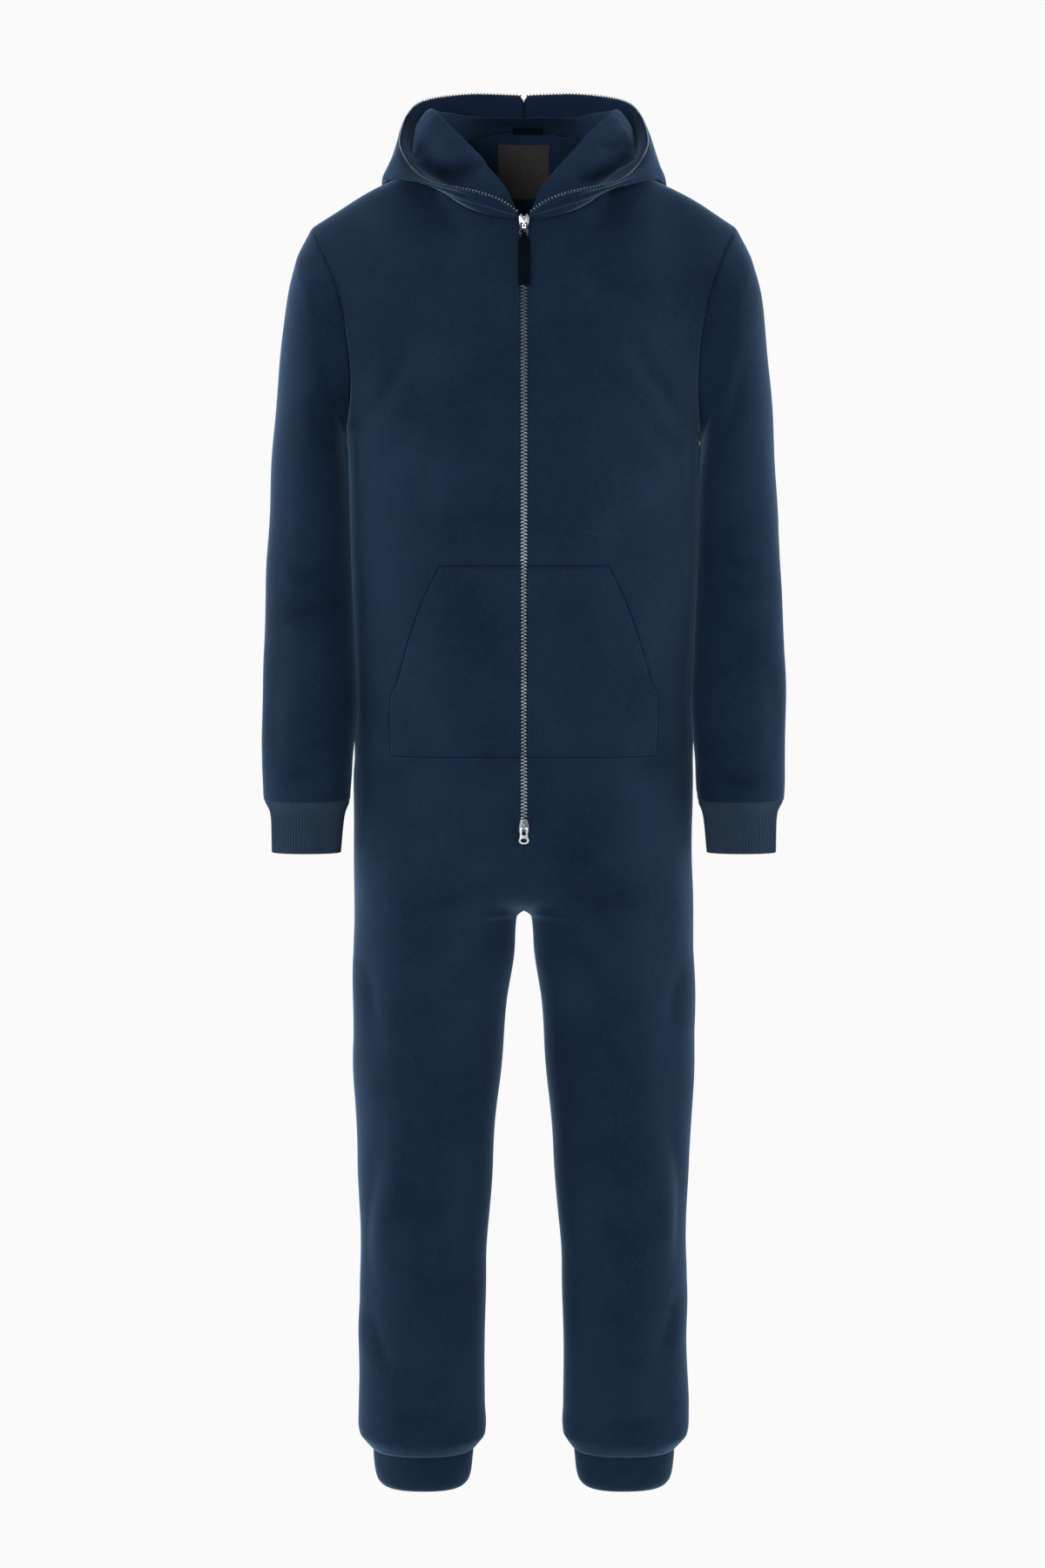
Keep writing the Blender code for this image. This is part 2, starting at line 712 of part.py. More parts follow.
def hood_lining_profile(degrees):
    angle = math.radians(degrees)
    edge, along, up, out = hood_frame(degrees)
    start = neck_seam(degrees)
    inward = np.array([0.0, NECK_CENTRE_Y, start[2]]) - start
    inward = inward / np.linalg.norm(inward)
    top = edge - up * (HOOD_CHAIN_HEIGHT / 2 + SEAM_GAP + 0.3) - out * (LINING_WALL + SEAM_GAP / 2)
    gutter = HOOD_GUTTER.at(degrees)
    crest = HOOD_CREST.at(degrees)
    foot = start + inward * (FLEECE_WALL + SEAM_GAP + LINING_WALL) + np.array([0.0, 0.0, 2.0])
    facing = top + (gutter - top) * 0.5 + out * 0.06 * np.linalg.norm(gutter - top)
    inside = (crest + foot) / 2
    clear = LINING_CLEAR * min(max((degrees - 120.0) / 30.0, 0.0), 1.0)
    rise = (gutter + crest) / 2 + np.array([math.sin(angle), -math.cos(angle), 0.0]) * clear
    knots = [top, facing, gutter, rise, crest, inside, foot]
    return centre_back(spline(knots, LINING_STRIPS + 1), degrees)


def make_hood(name, profile, wall, edge_column, mirrored, material):
    """Half of the hood's outer or inner cloth, its free edge square under the zip."""
    grid = np.array([profile(degrees) for degrees in HOOD_ANGLES])
    normals = outward(grid, False, -1.0)
    side = 1.0 if edge_column else -1.0
    for i, degrees in enumerate(HOOD_ANGLES):
        normals[i, edge_column] = hood_frame(degrees)[3] * side
    seam_flat(normals, -1, slice(None), 0)
    seam_flat(normals, 0, slice(None), 0)
    points, faces = wall_mesh(grid, grid - normals * wall, False, -1.0)
    return add_object(name, points, faces, material, mirrored)


def on_grid(grid, row, column):
    """Point between the points of a grid, on its flat faces."""
    i, j = min(int(row), len(grid) - 2), min(int(column), grid.shape[1] - 2)
    u, v = row - i, column - j
    upper = grid[i, j] * (1.0 - v) + grid[i, j + 1] * v
    lower = grid[i + 1, j] * (1.0 - v) + grid[i + 1, j + 1] * v
    return upper * (1.0 - u) + lower * u


def column_at(grid, row, x):
    """Column, as a share of the first strip, where a row of the grid reaches x."""
    first, second = on_grid(grid, row, 0.0), on_grid(grid, row, 1.0)
    return (x - first[0]) / (second[0] - first[0])


def both_sides(half):
    """Whole width of a piece that crosses the centre, from its half."""
    other = half[:, ::-1] * np.array([-1.0, 1.0, 1.0])
    return np.concatenate([other, half], axis=1)


def make_pocket(name, mirrored, material):
    rows = []
    for height in POCKET.key[::-1]:
        outer_x = POCKET.at(height)[0]
        half_width, depth = TORSO.at(height)[:2]
        row = []
        for out in POCKET_COLUMNS:
            x = ZIP_SLOT_HALF + 1.0 + (outer_x - ZIP_SLOT_HALF - 1.0) * out
            share = (x - ZIP_SLOT_HALF) / (half_width - ZIP_SLOT_HALF)
            row.append((x, depth * round_off(share, TORSO_ROUNDNESS), height))
        rows.append(row)
    base = np.array(rows)
    normals = outward(base, False, FRONT)
    inner = base + normals * (SEAM_GAP + 0.2)
    points, faces = wall_mesh(inner + normals * POCKET_WALL, inner, False, FRONT)
    return add_object(name, points, faces, material, mirrored)


def tube_mesh(sections, closed):
    """Surface through equal closed sections: capped at its ends, or run round into a loop."""
    sections = np.array(sections)
    rows, count = sections.shape[:2]
    faces = []
    for i in range(rows if closed else rows - 1):
        for j in range(count):
            a, b = i * count + j, i * count + (j + 1) % count
            c, d = ((i + 1) % rows) * count + (j + 1) % count, ((i + 1) % rows) * count + j
            faces.append((a, b, c))
            faces.append((a, c, d))
    if not closed:
        faces.append(tuple(range(count))[::-1])
        faces.append(tuple((rows - 1) * count + j for j in range(count)))
    return sections.reshape(-1, 3), faces


def make_front_zip(material):
    """Closed chain between the fronts, with its tape behind them."""
    grid = panel_grid(FRONT)
    normals = outward(grid, False, FRONT)
    line = [(i, p) for i, p in enumerate(grid[:, 0]) if ZIP_BOTTOM < p[2]]
    rows = [0.5] + [float(i) for i, p in line[1:]]
    rows[-1] -= 0.02
    sections = []
    for row in rows:
        middle = on_grid(grid, row, 0.0) * np.array([0.0, 1.0, 1.0])
        way = on_grid(normals, row, 0.0) * np.array([0.0, 1.0, 1.0])
        way = way / np.linalg.norm(way)
        share = column_at(grid, row, TAPE_HALF_WIDTH)
        side = on_grid(grid, row, share)
        side_way = on_grid(normals, row, share)
        behind = FLEECE_WALL + SEAM_GAP + 0.1
        across = np.array([CHAIN_HALF_WIDTH, 0.0, 0.0])
        back = middle - way * (behind + 0.1)
        half = [
            middle + way * CHAIN_PROUD + across,
            back + across,
            side - side_way * behind,
            side - side_way * (behind + TAPE_WALL),
            back + across - way * TAPE_WALL,
        ]
        mirrored = [p * np.array([-1.0, 1.0, 1.0]) for p in half[::-1]]
        sections.append(half + mirrored)
    points, faces = tube_mesh(sections[::-1], False)
    return add_object("front_zip", points, faces, material)


def make_hood_zip(name, mirrored, material):
    """Open half of the chain along the hood's edge."""
    sections = []
    for degrees in HOOD_ANGLES:
        edge, along, up, out = hood_frame(degrees)
        wide, tall = out * HOOD_CHAIN_WIDTH / 2, up * HOOD_CHAIN_HEIGHT / 2
        sections.append([edge + wide - tall, edge + wide + tall, edge - wide + tall, edge - wide - tall])
    points, faces = tube_mesh(sections[::-1], False)
    return add_object(name, points, faces, material, mirrored)


def zip_frame(height):
    """Point of the closed chain's face at a height, with the way up along it and out of it."""
    line = panel_grid(FRONT)[:, 0]
    line = line[np.argsort(line[:, 2])]
    y = [float(np.interp(height + step, line[:, 2], line[:, 1])) for step in (-16.0, 0.0)]
    up = unit(np.array([0.0, y[1] - y[0], 16.0]))
    out = np.array([0.0, -up[2], up[1]])
    face = np.array([0.0, y[1], height]) + out * (CHAIN_PROUD + SEAM_GAP + 0.1)
    return face, out, up


def slider_points(height, local, lean=0.0):
    """Points from the slider's own frame (across, out, up) set on the zip, leant at the pivot."""
    face, out, up = zip_frame(height)
    c, s = math.cos(math.radians(lean)), math.sin(math.radians(lean))
    points = []
    for x, d, z in local:
        d0, z0 = SLIDER_WALL + PIVOT_OUT, PIVOT_ALONG
        d, z = d - d0, z - z0
        d, z = d0 + d * c - z * s, z0 + z * c + d * s
        points.append(face + np.array([x, 0.0, 0.0]) + out * d + up * z)
    return points


def make_slider(name, height, wide_end, material):
    """Slider plate with a bridge over it that carries the pull."""
    rows = [SLIDER_LENGTH / 2, BRIDGE_REACH, BRIDGE_REACH - BRIDGE_FOOT]
    rows = rows + [-z for z in rows[::-1]]
    local, faces = [], []
    for out in (0.0, SLIDER_WALL):
        for z in rows:
            share = 0.5 + wide_end * z / SLIDER_LENGTH
            half = SLIDER_NARROW + (SLIDER_WIDE - SLIDER_NARROW) * share
            local += [(x, out, z) for x in (-half, -BRIDGE_HALF_WIDTH, BRIDGE_HALF_WIDTH, half)]

    def corner(layer, row, column):
        return layer * 24 + row * 4 + column

    for i in range(5):
        for j in range(3):
            low = [corner(0, i, j), corner(0, i + 1, j), corner(0, i + 1, j + 1), corner(0, i, j + 1)]
            faces.append(tuple(low[::-1]))
            if j != 1 or i not in (1, 3):
                faces.append(tuple(k + 24 for k in low))
    rim = [corner(0, i, 0) for i in range(6)] + [corner(0, 5, j) for j in (1, 2)]
    rim += [corner(0, i, 3) for i in range(5, -1, -1)] + [corner(0, 0, j) for j in (2, 1)]
    for k, low in enumerate(rim):
        after = rim[(k + 1) % len(rim)]
        faces.append((low, after, after + 24, low + 24))

    start = [corner(1, 1, 1), corner(1, 1, 2), corner(1, 2, 2), corner(1, 2, 1)]
    finish = [corner(1, 4, 1), corner(1, 4, 2), corner(1, 3, 2), corner(1, 3, 1)]
    previous = start
    arch = []
    for i in range(1, 8):
        a = math.pi * i / 8
        arch.append((math.cos(a), math.sin(a) ** 0.6))
    for c, s in arch:
        base = len(local)
        outer = (BRIDGE_REACH * power(c, 0.6), SLIDER_WALL + (BRIDGE_CLEAR + BRIDGE_BAR) * s)
        inner = ((BRIDGE_REACH - BRIDGE_FOOT) * power(c, 0.6), SLIDER_WALL + BRIDGE_CLEAR * s)
        local += [(-BRIDGE_HALF_WIDTH, outer[1], outer[0]), (BRIDGE_HALF_WIDTH, outer[1], outer[0])]
        local += [(BRIDGE_HALF_WIDTH, inner[1], inner[0]), (-BRIDGE_HALF_WIDTH, inner[1], inner[0])]
        current = [base, base + 1, base + 2, base + 3]
        for k in range(4):
            m = (k + 1) % 4
            faces.append((previous[m], previous[k], current[k], current[m]))
        previous = current
    for k in range(4):
        m = (k + 1) % 4
        faces.append((previous[m], previous[k], finish[k], finish[m]))
    return add_object(name, slider_points(height, local), faces, material)


def prism(name, outline, half_depth, height, lean, material):
    """Flat metal shape (across, along the pull from its pivot) in the pull's plane."""
    centre = SLIDER_WALL + PIVOT_OUT
    count = len(outline)
    local = [(x, centre + half_depth, PIVOT_ALONG + z) for x, z in outline]
    local += [(x, centre - half_depth, PIVOT_ALONG + z) for x, z in outline]
    faces = [tuple(range(count)), tuple(range(2 * count - 1, count - 1, -1))]
    for i in range(count):
        k = (i + 1) % count
        faces.append((k, i, count + i, count + k))
    return add_object(name, slider_points(height, local, lean), faces, material)


def oval(centre_z, half_width, half_height, roundness, start, stop, count):
    """Points round an oval, from one clock angle to the other, in degrees from the top."""
    points = []
    for i in range(count):
        a = math.radians(start + (stop - start) * i / (count - 1))
        x = half_width * power(math.sin(a), 2.0 / roundness)
        points.append((x, centre_z + half_height * power(math.cos(a), 2.0 / roundness)))
    return points


def make_pull(name, height, shape, lean, material):
    """Metal tab: a fork's bar in the slider's bridge, a slot round the bridge, a ring below."""
    slot_end, ring_z, ring_half, ring_reach, hole_half, hole_reach, roundness = shape
    shoulder = PULL_HALF_WIDTH
    outline = [(-shoulder + 0.8, PULL_BAR), (-shoulder, PULL_BAR - 0.8)]
    outline += oval(ring_z, ring_half, ring_reach, roundness, -52.0, -308.0, 17)
    outline += [(shoulder, PULL_BAR - 0.8), (shoulder - 0.8, PULL_BAR)]
    pull = prism(name, outline, PULL_WALL / 2, height, lean, material)
    half = PULL_SLOT_HALF
    slot = [(-half, -PULL_BAR), (-half, slot_end), (half, slot_end), (half, -PULL_BAR)]
    hole = oval(ring_z, hole_half, hole_reach, roundness, 0.0, -337.5, 16)
    for part, edge in (("slot", slot), ("ring", hole)):
        cutter = prism(name + "_" + part + "_cutter", edge, PULL_WALL, height, lean, material)
        cutter.hide_render = True
        cutter.display_type = "WIRE"
        cut = pull.modifiers.new(part, "BOOLEAN")
        cut.operation = "DIFFERENCE"
        cut.solver = "EXACT"
        cut.object = cutter
    return pull


def make_strap(material):
    """Woven strap through the ring of the top pull, doubled and stitched flat below it."""
    ring_z, reach, hole_reach = TOP_PULL[1], TOP_PULL[3], TOP_PULL[5]
    eye_z = PIVOT_ALONG + ring_z - (reach + hole_reach) / 2
    middle = SLIDER_WALL + PIVOT_OUT
    half_wall = STRAP_LAYER + 0.1
    outer, inner = [], []
    for i in range(9):
        a = math.pi * i / 8
        c, s = math.cos(a), math.sin(a)
        outer.append((middle + c * (STRAP_EYE + STRAP_LAYER), eye_z + s * (STRAP_EYE + STRAP_LAYER)))
        inner.append((middle + c * STRAP_EYE, eye_z + s * STRAP_EYE))
    for z in (STRAP_NECK, STRAP_SHOULDER, STRAP_LENGTH):
        outer.append((middle - half_wall, eye_z - z))
    inner += [(middle - 0.5, eye_z - 2.2), (middle - 0.3, eye_z - 2.8), (middle - 0.1, eye_z - 3.2)]
    for z in (STRAP_LENGTH, STRAP_SHOULDER, STRAP_NECK):
        outer.append((middle + half_wall, eye_z - z))
    inner += [(middle + 0.1, eye_z - 3.2), (middle + 0.3, eye_z - 2.8), (middle + 0.5, eye_z - 2.2)]
    count = len(outer)
    local = []
    for side in (-1.0, 1.0):
        for out, z in outer:
            wide = eye_z - z > STRAP_SHOULDER - 0.5
            local.append((side * (STRAP_WIDTH / 2 if wide else STRAP_NECK_HALF), out, z))
        local += [(side * STRAP_NECK_HALF, out, z) for out, z in inner]
    faces = []
    far = 2 * count
    for i in range(count):
        k = (i + 1) % count
        faces.append((i, k, count + k, count + i))
        faces.append((far + k, far + i, far + count + i, far + count + k))
        faces.append((k, i, far + i, far + k))
        faces.append((count + i, count + k, far + count + k, far + count + i))
    points = slider_points(TOP_SLIDER_HEIGHT, local, TOP_PULL_LEAN)
    return add_object("puller_strap", points, faces, material)


def make_label(material):
    """Bare woven label on the inside of the back, across its centre seam."""
    grid = panel_grid(BACK)
    normals = outward(grid, False, BACK)
    half_face, half_back = [], []
    for row in LABEL_ROWS:
        share = column_at(grid, row, LABEL_HALF_WIDTH)
        face_row, back_row = [], []
        for column in (0.0, share):
            point = on_grid(grid, row, column)
            way = on_grid(normals, row, column)
            near = point - way * (FLEECE_WALL + SEAM_GAP + 0.1)
            back_row.append(near)
            face_row.append(near - way * LABEL_WALL)
        face_row[0][0] = back_row[0][0] = 0.5
        face_row[0][2], back_row[0][2] = point[2], point[2]
        half_face.append(face_row)
        half_back.append(back_row)
    face, back = both_sides(np.array(half_face)), both_sides(np.array(half_back))
    points, faces = wall_mesh(face, back, False, FRONT)
    return add_object("neck_label", points, faces, material)


def make_hanger(material):
    width, depth, height = HANGER_SIZE
    x, y, z = HANGER_CENTRE
    sections = []
    for i in range(7):
        across = -0.5 + i / 6
        bow = (x + width * across) ** 2 / (2.0 * NECK_HALF_WIDTH)
        at = np.array([x + width * across, y - bow, z])
        corners = ((-0.5, -0.5), (0.5, -0.5), (0.5, 0.5), (-0.5, 0.5))
        sections.append([at + np.array([0.0, depth * a, height * b]) for a, b in corners])
    points, faces = tube_mesh(sections, False)
    return add_object("hanger_loop", points, faces, material)


def make_all():
    remove_old_objects()
    fleece = cloth_material("navy_fleece", (0.012, 0.022, 0.042), 0.95)
    rib = cloth_material("navy_rib_knit", (0.008, 0.014, 0.028), 0.95)
    tape = cloth_material("black_woven_tape", (0.006, 0.006, 0.008), 0.8)
    steel = cloth_material("gunmetal", (0.12, 0.13, 0.15), 0.35, 1.0)
    for side, mirrored in (("left", False), ("right", True)):
        for part, face in (("front_", FRONT), ("back_", BACK)):
            names = [part + length + side for length in ("", "hip_", "leg_")]
            make_panel(names, face, mirrored, fleece)
        make_sleeve("sleeve_" + side, mirrored, fleece)
        make_cuff(
            "sleeve_cuff_" + side, SLEEVE_CUFF, SLEEVE_ROUNDNESS, SLEEVE_RIBS, RIB_HEIGHT, mirrored, rib
        )
        make_cuff("leg_cuff_" + side, LEG_CUFF, LEG_ROUNDNESS, LEG_RIBS, LEG_RIB_HEIGHT, mirrored, rib)
        make_hood("hood_" + side, hood_outer_profile, FLEECE_WALL, -1, mirrored, fleece)
        make_hood("hood_lining_" + side, hood_lining_profile, LINING_WALL, 0, mirrored, fleece)
        make_hood_zip("hood_zip_" + side, mirrored, steel)
        make_pocket("pocket_" + side, mirrored, fleece)
    make_front_zip(steel)
    make_slider("slider_top", TOP_SLIDER_HEIGHT, 1.0, steel)
    make_pull("pull_top", TOP_SLIDER_HEIGHT, TOP_PULL, TOP_PULL_LEAN, steel)
    make_strap(tape)
    make_slider("slider_bottom", BOTTOM_SLIDER_HEIGHT, -1.0, steel)
    make_pull("pull_bottom", BOTTOM_SLIDER_HEIGHT, BOTTOM_PULL, 0.0, steel)
    make_label(tape)
    make_hanger(tape)


make_all()
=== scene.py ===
"""Hooded one-piece fleece pajama, held in its worn shape with nobody in it.

Forms are worked out in millimetres above the leg hems and become metres as they are made.
The front faces -Y, the wearer's left is +X, and the origin is the base of the neck.
"""
import math

import bmesh
import bpy
import numpy as np
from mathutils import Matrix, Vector


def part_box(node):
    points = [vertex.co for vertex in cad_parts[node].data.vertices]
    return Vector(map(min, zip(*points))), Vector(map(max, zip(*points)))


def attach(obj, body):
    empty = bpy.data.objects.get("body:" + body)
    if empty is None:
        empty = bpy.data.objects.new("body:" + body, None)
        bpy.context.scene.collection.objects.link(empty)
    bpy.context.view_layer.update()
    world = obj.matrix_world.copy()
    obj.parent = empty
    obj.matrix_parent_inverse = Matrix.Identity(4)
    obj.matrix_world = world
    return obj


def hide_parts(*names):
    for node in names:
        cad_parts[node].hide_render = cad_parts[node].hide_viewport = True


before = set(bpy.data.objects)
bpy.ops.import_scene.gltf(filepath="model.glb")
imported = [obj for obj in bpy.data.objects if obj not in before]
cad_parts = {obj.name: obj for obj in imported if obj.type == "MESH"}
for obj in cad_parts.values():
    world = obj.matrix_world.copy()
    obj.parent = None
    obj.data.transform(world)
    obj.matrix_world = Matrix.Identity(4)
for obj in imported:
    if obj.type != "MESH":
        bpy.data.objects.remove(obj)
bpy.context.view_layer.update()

# Overall sizes
ORIGIN_HEIGHT = 1575.0
FLEECE_WALL = 1.8
LINING_WALL = 1.2
RIB_WALL = 2.2
COLUMNS_PER_RIB = 6
SLEEVE_RIBS, SLEEVE_RIB_HEIGHT = 78, 0.95
LEG_RIBS, LEG_RIB_HEIGHT = 104, 0.14
POCKET_WALL = 1.6
POCKET_STITCH = 3.3
POCKET_CHANNEL = 0.9
POCKET_EDGE_STEPS = (0.0, 0.4, 0.9, 1.5, 2.2, 2.8, 3.3, 3.8, 4.4, 5.2, 6.2)
SEAM_HALF_GAP = -0.01
SEAM_ROLL_DEPTH = 1.1
SEAM_ROLL_WIDTH = 5.0

# Shoulders, neck and armholes
NECK_HALF_WIDTH = 101.0
NECK_CENTRE_Y = -12.0
NECK_HALF_DEPTH = 88.0
NECK_MEAN_HEIGHT = 1555.0
NECK_RISE = 60.0
NECK_SIDE_LIFT = 10.0
SHOULDER_X = 248.0
SHOULDER_HEIGHT = 1495.0
SHOULDER_ROUND = 8.0
CORNER_EASE = 0.1
ARMHOLE_X = 227.0
ARMHOLE_LEAN = 21.0
ARMHOLE_SCOOP = 22.0
ARMHOLE_HALF_DEPTH = 76.0
ARMHOLE_HEIGHT = 1375.0
ARMHOLE_HALF_HEIGHT = 120.0
UNDERARM_HEIGHT = ARMHOLE_HEIGHT - ARMHOLE_HALF_HEIGHT

# Sections
TORSO_ROUNDNESS = 2.4
LEG_ROUNDNESS = 2.2
SLEEVE_ROUNDNESS = 2.1
SLEEVE_CLEAR = 0.2
SLEEVE_COLUMNS = 84
SIDE_SHARE = 0.4
HIP_HEIGHT = 850.0
CROTCH_HEIGHT = 695.0
CROTCH_HOLLOW = 11

# Zip
ZIP_SLOT_HALF = 4.2
ZIP_TOP = 1483.0
ZIP_BOTTOM = 786.0
LAST_TOOTH = 807.0
TOOTH_PITCH = 3.93
TOOTH_ROOT = 3.8
TOOTH_DEPTH = 1.45

# Stitches: how far in from the edges, their pitch and their size (thread's half thicknesses, half length)
ZIP_STITCH = 6.0
NECK_STITCH = 5.0
HOOD_STITCH = 6.0
CUFF_STITCH = 3.0
LABEL_STITCH = 2.4
STITCH_PITCH = 3.4
LABEL_STITCH_PITCH = 2.6
STITCH_SIZE = (0.32, 0.3, 1.3)
LABEL_STITCH_SIZE = (0.2, 0.2, 0.95)

# Chain and tapes
CHAIN_PROUD = 0.6
TAPE_WALL = 0.8
# Sections of the tapes: half the front one (away from the middle, depth), and the hood's (rise, side)
FRONT_TAPE = ((0, 1.7), (1.2, 1.7), (3, 1.2), (3.9, 1.1), (4.6, 2.2), (9, 2.4), (14, 3.1))
HOOD_TAPE = ((6, 0.3), (2.4, 0.3), (1.2, 0.45), (0.7, 0), (1.2, -0.45), (2.4, -0.3), (6, -0.3))
HOOD_TOOTH_RISE = 2.2
HOOD_TOOTH_SIZE = (0.72, 0.75, 0.9)
TOOTH_LEANS = (0.55, -0.55, 0.0)
# Heights between which the chain is left brightest; painted shade darkens it above and below them
UNSHADED_CHAIN_BOTTOM = 960.0
UNSHADED_CHAIN_TOP = 1060.0

# Hood
HOOD_FULLNESS = 14.0
LINING_CLEAR = 7.0
PUFF = 8.0
HOOD_FRONT_X = 6.4
NOTCH_SLOPE = 0.75
PROFILE_ENDS = (0.012, 0.03, 0.055, 0.085)

# Signs of Y for the two faces, and the wearer's sides with whether each is mirrored
FRONT = -1.0
BACK = 1.0
SIDES = (("left", False), ("right", True))


class Table:
    """Rows of columns by a rising key; at() reads them smoothly between the rows."""

    def __init__(self, *rows):
        ordered = np.array(sorted(rows), dtype=float)
        self.key, self.columns = ordered[:, 0], ordered[:, 1:]
        slope = np.diff(self.columns, axis=0) / np.diff(self.key)[:, None]
        before, after = slope[:-1], slope[1:]
        total = np.where(before * after > 0, before + after, 1.0)
        inside = np.where(before * after > 0, 2.0 * before * after / total, 0.0)
        self.slopes = np.concatenate([slope[:1], inside, slope[-1:]])

    def at(self, key):
        key = np.clip(np.asarray(key, dtype=float), self.key[0], self.key[-1])
        i = np.clip(np.searchsorted(self.key, key, side="right") - 1, 0, len(self.key) - 2)
        span = (self.key[i + 1] - self.key[i])[..., None]
        share = (key - self.key[i])[..., None] / span
        slopes = self.slopes[i] * span, self.slopes[i + 1] * span
        return curve(self.columns[i], self.columns[i + 1], *slopes, share)


# Torso by height: half width, front and back
TORSO = Table(
    (1620, 206, -100, 112),
    (1500, 206, -119, 132),
    (1440, 206, -130, 144),
    (1370, 206, -136, 150),
    (1310, 206, -137, 149),
    (1255, 206, -136, 144),
    (1193, 205, -132, 131),
    (1103, 203.5, -126, 119),
    (1003, 201.2, -121, 121),
    (903, 199.8, -117, 133),
    (823, 199.4, -114, 136),
    (777, 200, -112, 132),
    (695, 201, -103, 116),
)

# Leg by height: inseam, side, front and back
LEG = Table(
    (695, 0.15, 201, -103, 116),
    (688, 7.5, 201, -102.5, 115.5),
    (648, 11, 201.5, -98, 110),
    (585, 21, 202, -92, 103),
    (522, 26, 202, -87, 95),
    (460, 32, 200, -83, 88),
    (397, 37, 197.5, -79, 83),
    (333, 41, 197, -76, 80),
    (270, 46, 196, -72, 78),
    (207, 47, 196, -68, 75),
    (143, 48, 196, -64, 70),
    (100, 47.3, 197, -61.5, 66.5),
    (79, 46, 197, -60, 65),
    (66, 47, 195, -58.5, 62.5),
    (58, 51.5, 190, -54.5, 57.5),
    (46, 60, 181, -44.2, 44.2),
)

# Sleeve by ring: outer edge (x, height), inner edge (x, height), half depth, middle
SLEEVE = Table(
    (1, 266, 1457, 206.8, 1243, 77, 0),
    (2, 275.5, 1420, 205.4, 1226, 78, 0),
    (3, 283, 1368, 203, 1202, 76.5, 0),
    (4, 289, 1305, 201.2, 1170, 73, -1),
    (5, 294.5, 1235, 200, 1130, 69, -4),
    (6, 299, 1150, 198.4, 1078, 64, -9),
    (7, 302.5, 1060, 196, 1015, 59, -16),
    (8, 305, 965, 193.5, 945, 53.5, -24),
    (8.5, 305.9, 922, 196.8, 911, 50.5, -27),
    (9, 306.3, 880, 200.4, 878, 47.5, -30),
    (10, 305.6, 842, 202.8, 842, 43.5, -33),
    (11, 304.6, 828, 203.6, 828, 41, -34),
)

# Cuffs by height: inner and outer edge, half depth and, on the sleeve, the middle
SLEEVE_CUFF = Table(
    (828, 203.7, 304.5, 40.9, -34),
    (823, 205.2, 301.4, 37, -34.3),
    (815, 208.4, 297.4, 31.8, -34.8),
    (803, 210.6, 295.9, 29.4, -35.3),
    (767, 214, 295.2, 26.5, -37),
)
LEG_CUFF = Table(
    (45.9, 60.1, 180.9, 44.1, 0),
    (22, 62.4, 178.4, 42, 0),
    (11, 65, 175.6, 39.6, 0),
    (4.5, 69.4, 171, 36, 0),
    (1.2, 74.5, 165.8, 32.4, 0),
    (0, 79.5, 160.6, 29, 0),
)

# Loops of one half of the hood, by the angle round the neck from the zip to the centre back
HOOD_UNDER = Table(
    (0, 6.4, -101, 1496.4),
    (30, 57, -92.5, 1508),
    (55, 96, -66, 1531),
    (75, 107.5, -39, 1550.5),
    (90, 114, -6, 1569.5),
    (105, 124, 22, 1569),
    (120, 124, 54, 1559),
    (135, 102, 88, 1532),
    (150, 74, 109, 1524),
    (165, 38, 117, 1521),
    (180, 0.15, 120, 1520),
)
HOOD_ROLL = Table(
    (0, 6.4, -101.7, 1497.3),
    (30, 63, -96, 1515),
    (55, 117, -68, 1537),
    (75, 151, -36, 1546),
    (90, 163.5, 0, 1549),
    (105, 165, 42, 1539),
    (120, 154, 88, 1510),
    (135, 128, 124, 1474),
    (150, 91, 140, 1446),
    (165, 48, 148, 1431),
    (180, 0.15, 151, 1426),
)
HOOD_OUTER = Table(
    (0, 6.4, -102.4, 1498.3),
    (30, 69, -95.5, 1523),
    (55, 122, -65, 1543),
    (75, 147, -32, 1561),
    (90, 157, 3, 1572),
    (105, 160, 46, 1572),
    (120, 152, 96, 1565),
    (135, 129, 138, 1556),
    (150, 93, 168, 1548),
    (165, 46, 182, 1543),
    (180, 0.15, 186, 1540),
)
HOOD_EDGE = Table(
    (0, 5.2, -101.8, 1502),
    (12, 28, -101, 1517),
    (25, 60, -93, 1528),
    (40, 96, -77, 1536),
    (55, 119, -58, 1548),
    (72, 137, -28, 1572),
    (90, 145, 5, 1597),
    (108, 141, 40, 1624),
    (126, 126, 76, 1650),
    (144, 98, 102, 1662),
    (162, 50, 119, 1668),
    (177, 9, 123.8, 1667.3),
    (180, 3.2, 124, 1666.6),
)
HOOD_GUTTER = Table(
    (0, 6.6, -98.3, 1498.9),
    (20, 38, -88, 1521),
    (40, 80, -61, 1540),
    (60, 108.5, -33.5, 1567),
    (80, 128, -6, 1579),
    (100, 131, 28, 1587),
    (120, 124, 72, 1577),
    (140, 98, 112, 1530),
    (160, 52, 141, 1462),
    (180, 0.15, 150, 1442),
)
HOOD_CREST = Table(
    (0, 6.6, -98.2, 1498.2),
    (20, 19, -83, 1530),
    (40, 43, -57, 1562),
    (60, 74, -22, 1601),
    (80, 100, 15, 1628),
    (100, 108, 45, 1638),
    (120, 90, 67, 1638),
    (140, 59, 75, 1632),
    (160, 28.5, 78, 1628),
    (180, 0.15, 78, 1626),
)

# Pocket by height: its outer edge
POCKET = Table(
    (1103, 98),
    (1088, 106),
    (1060, 118.5),
    (1017, 134),
    (967, 149),
    (952, 156),
    (930, 156.5),
    (881, 155),
)


# --- Small helpers -----------------------------------------------------------------------------
def unit(vectors):
    return vectors / np.linalg.norm(vectors, axis=-1, keepdims=True)


def power(value, exponent):
    return np.sign(value) * np.abs(value) ** exponent


def smooth(value):
    value = np.clip(value, 0.0, 1.0)
    return value * value * (3.0 - 2.0 * value)


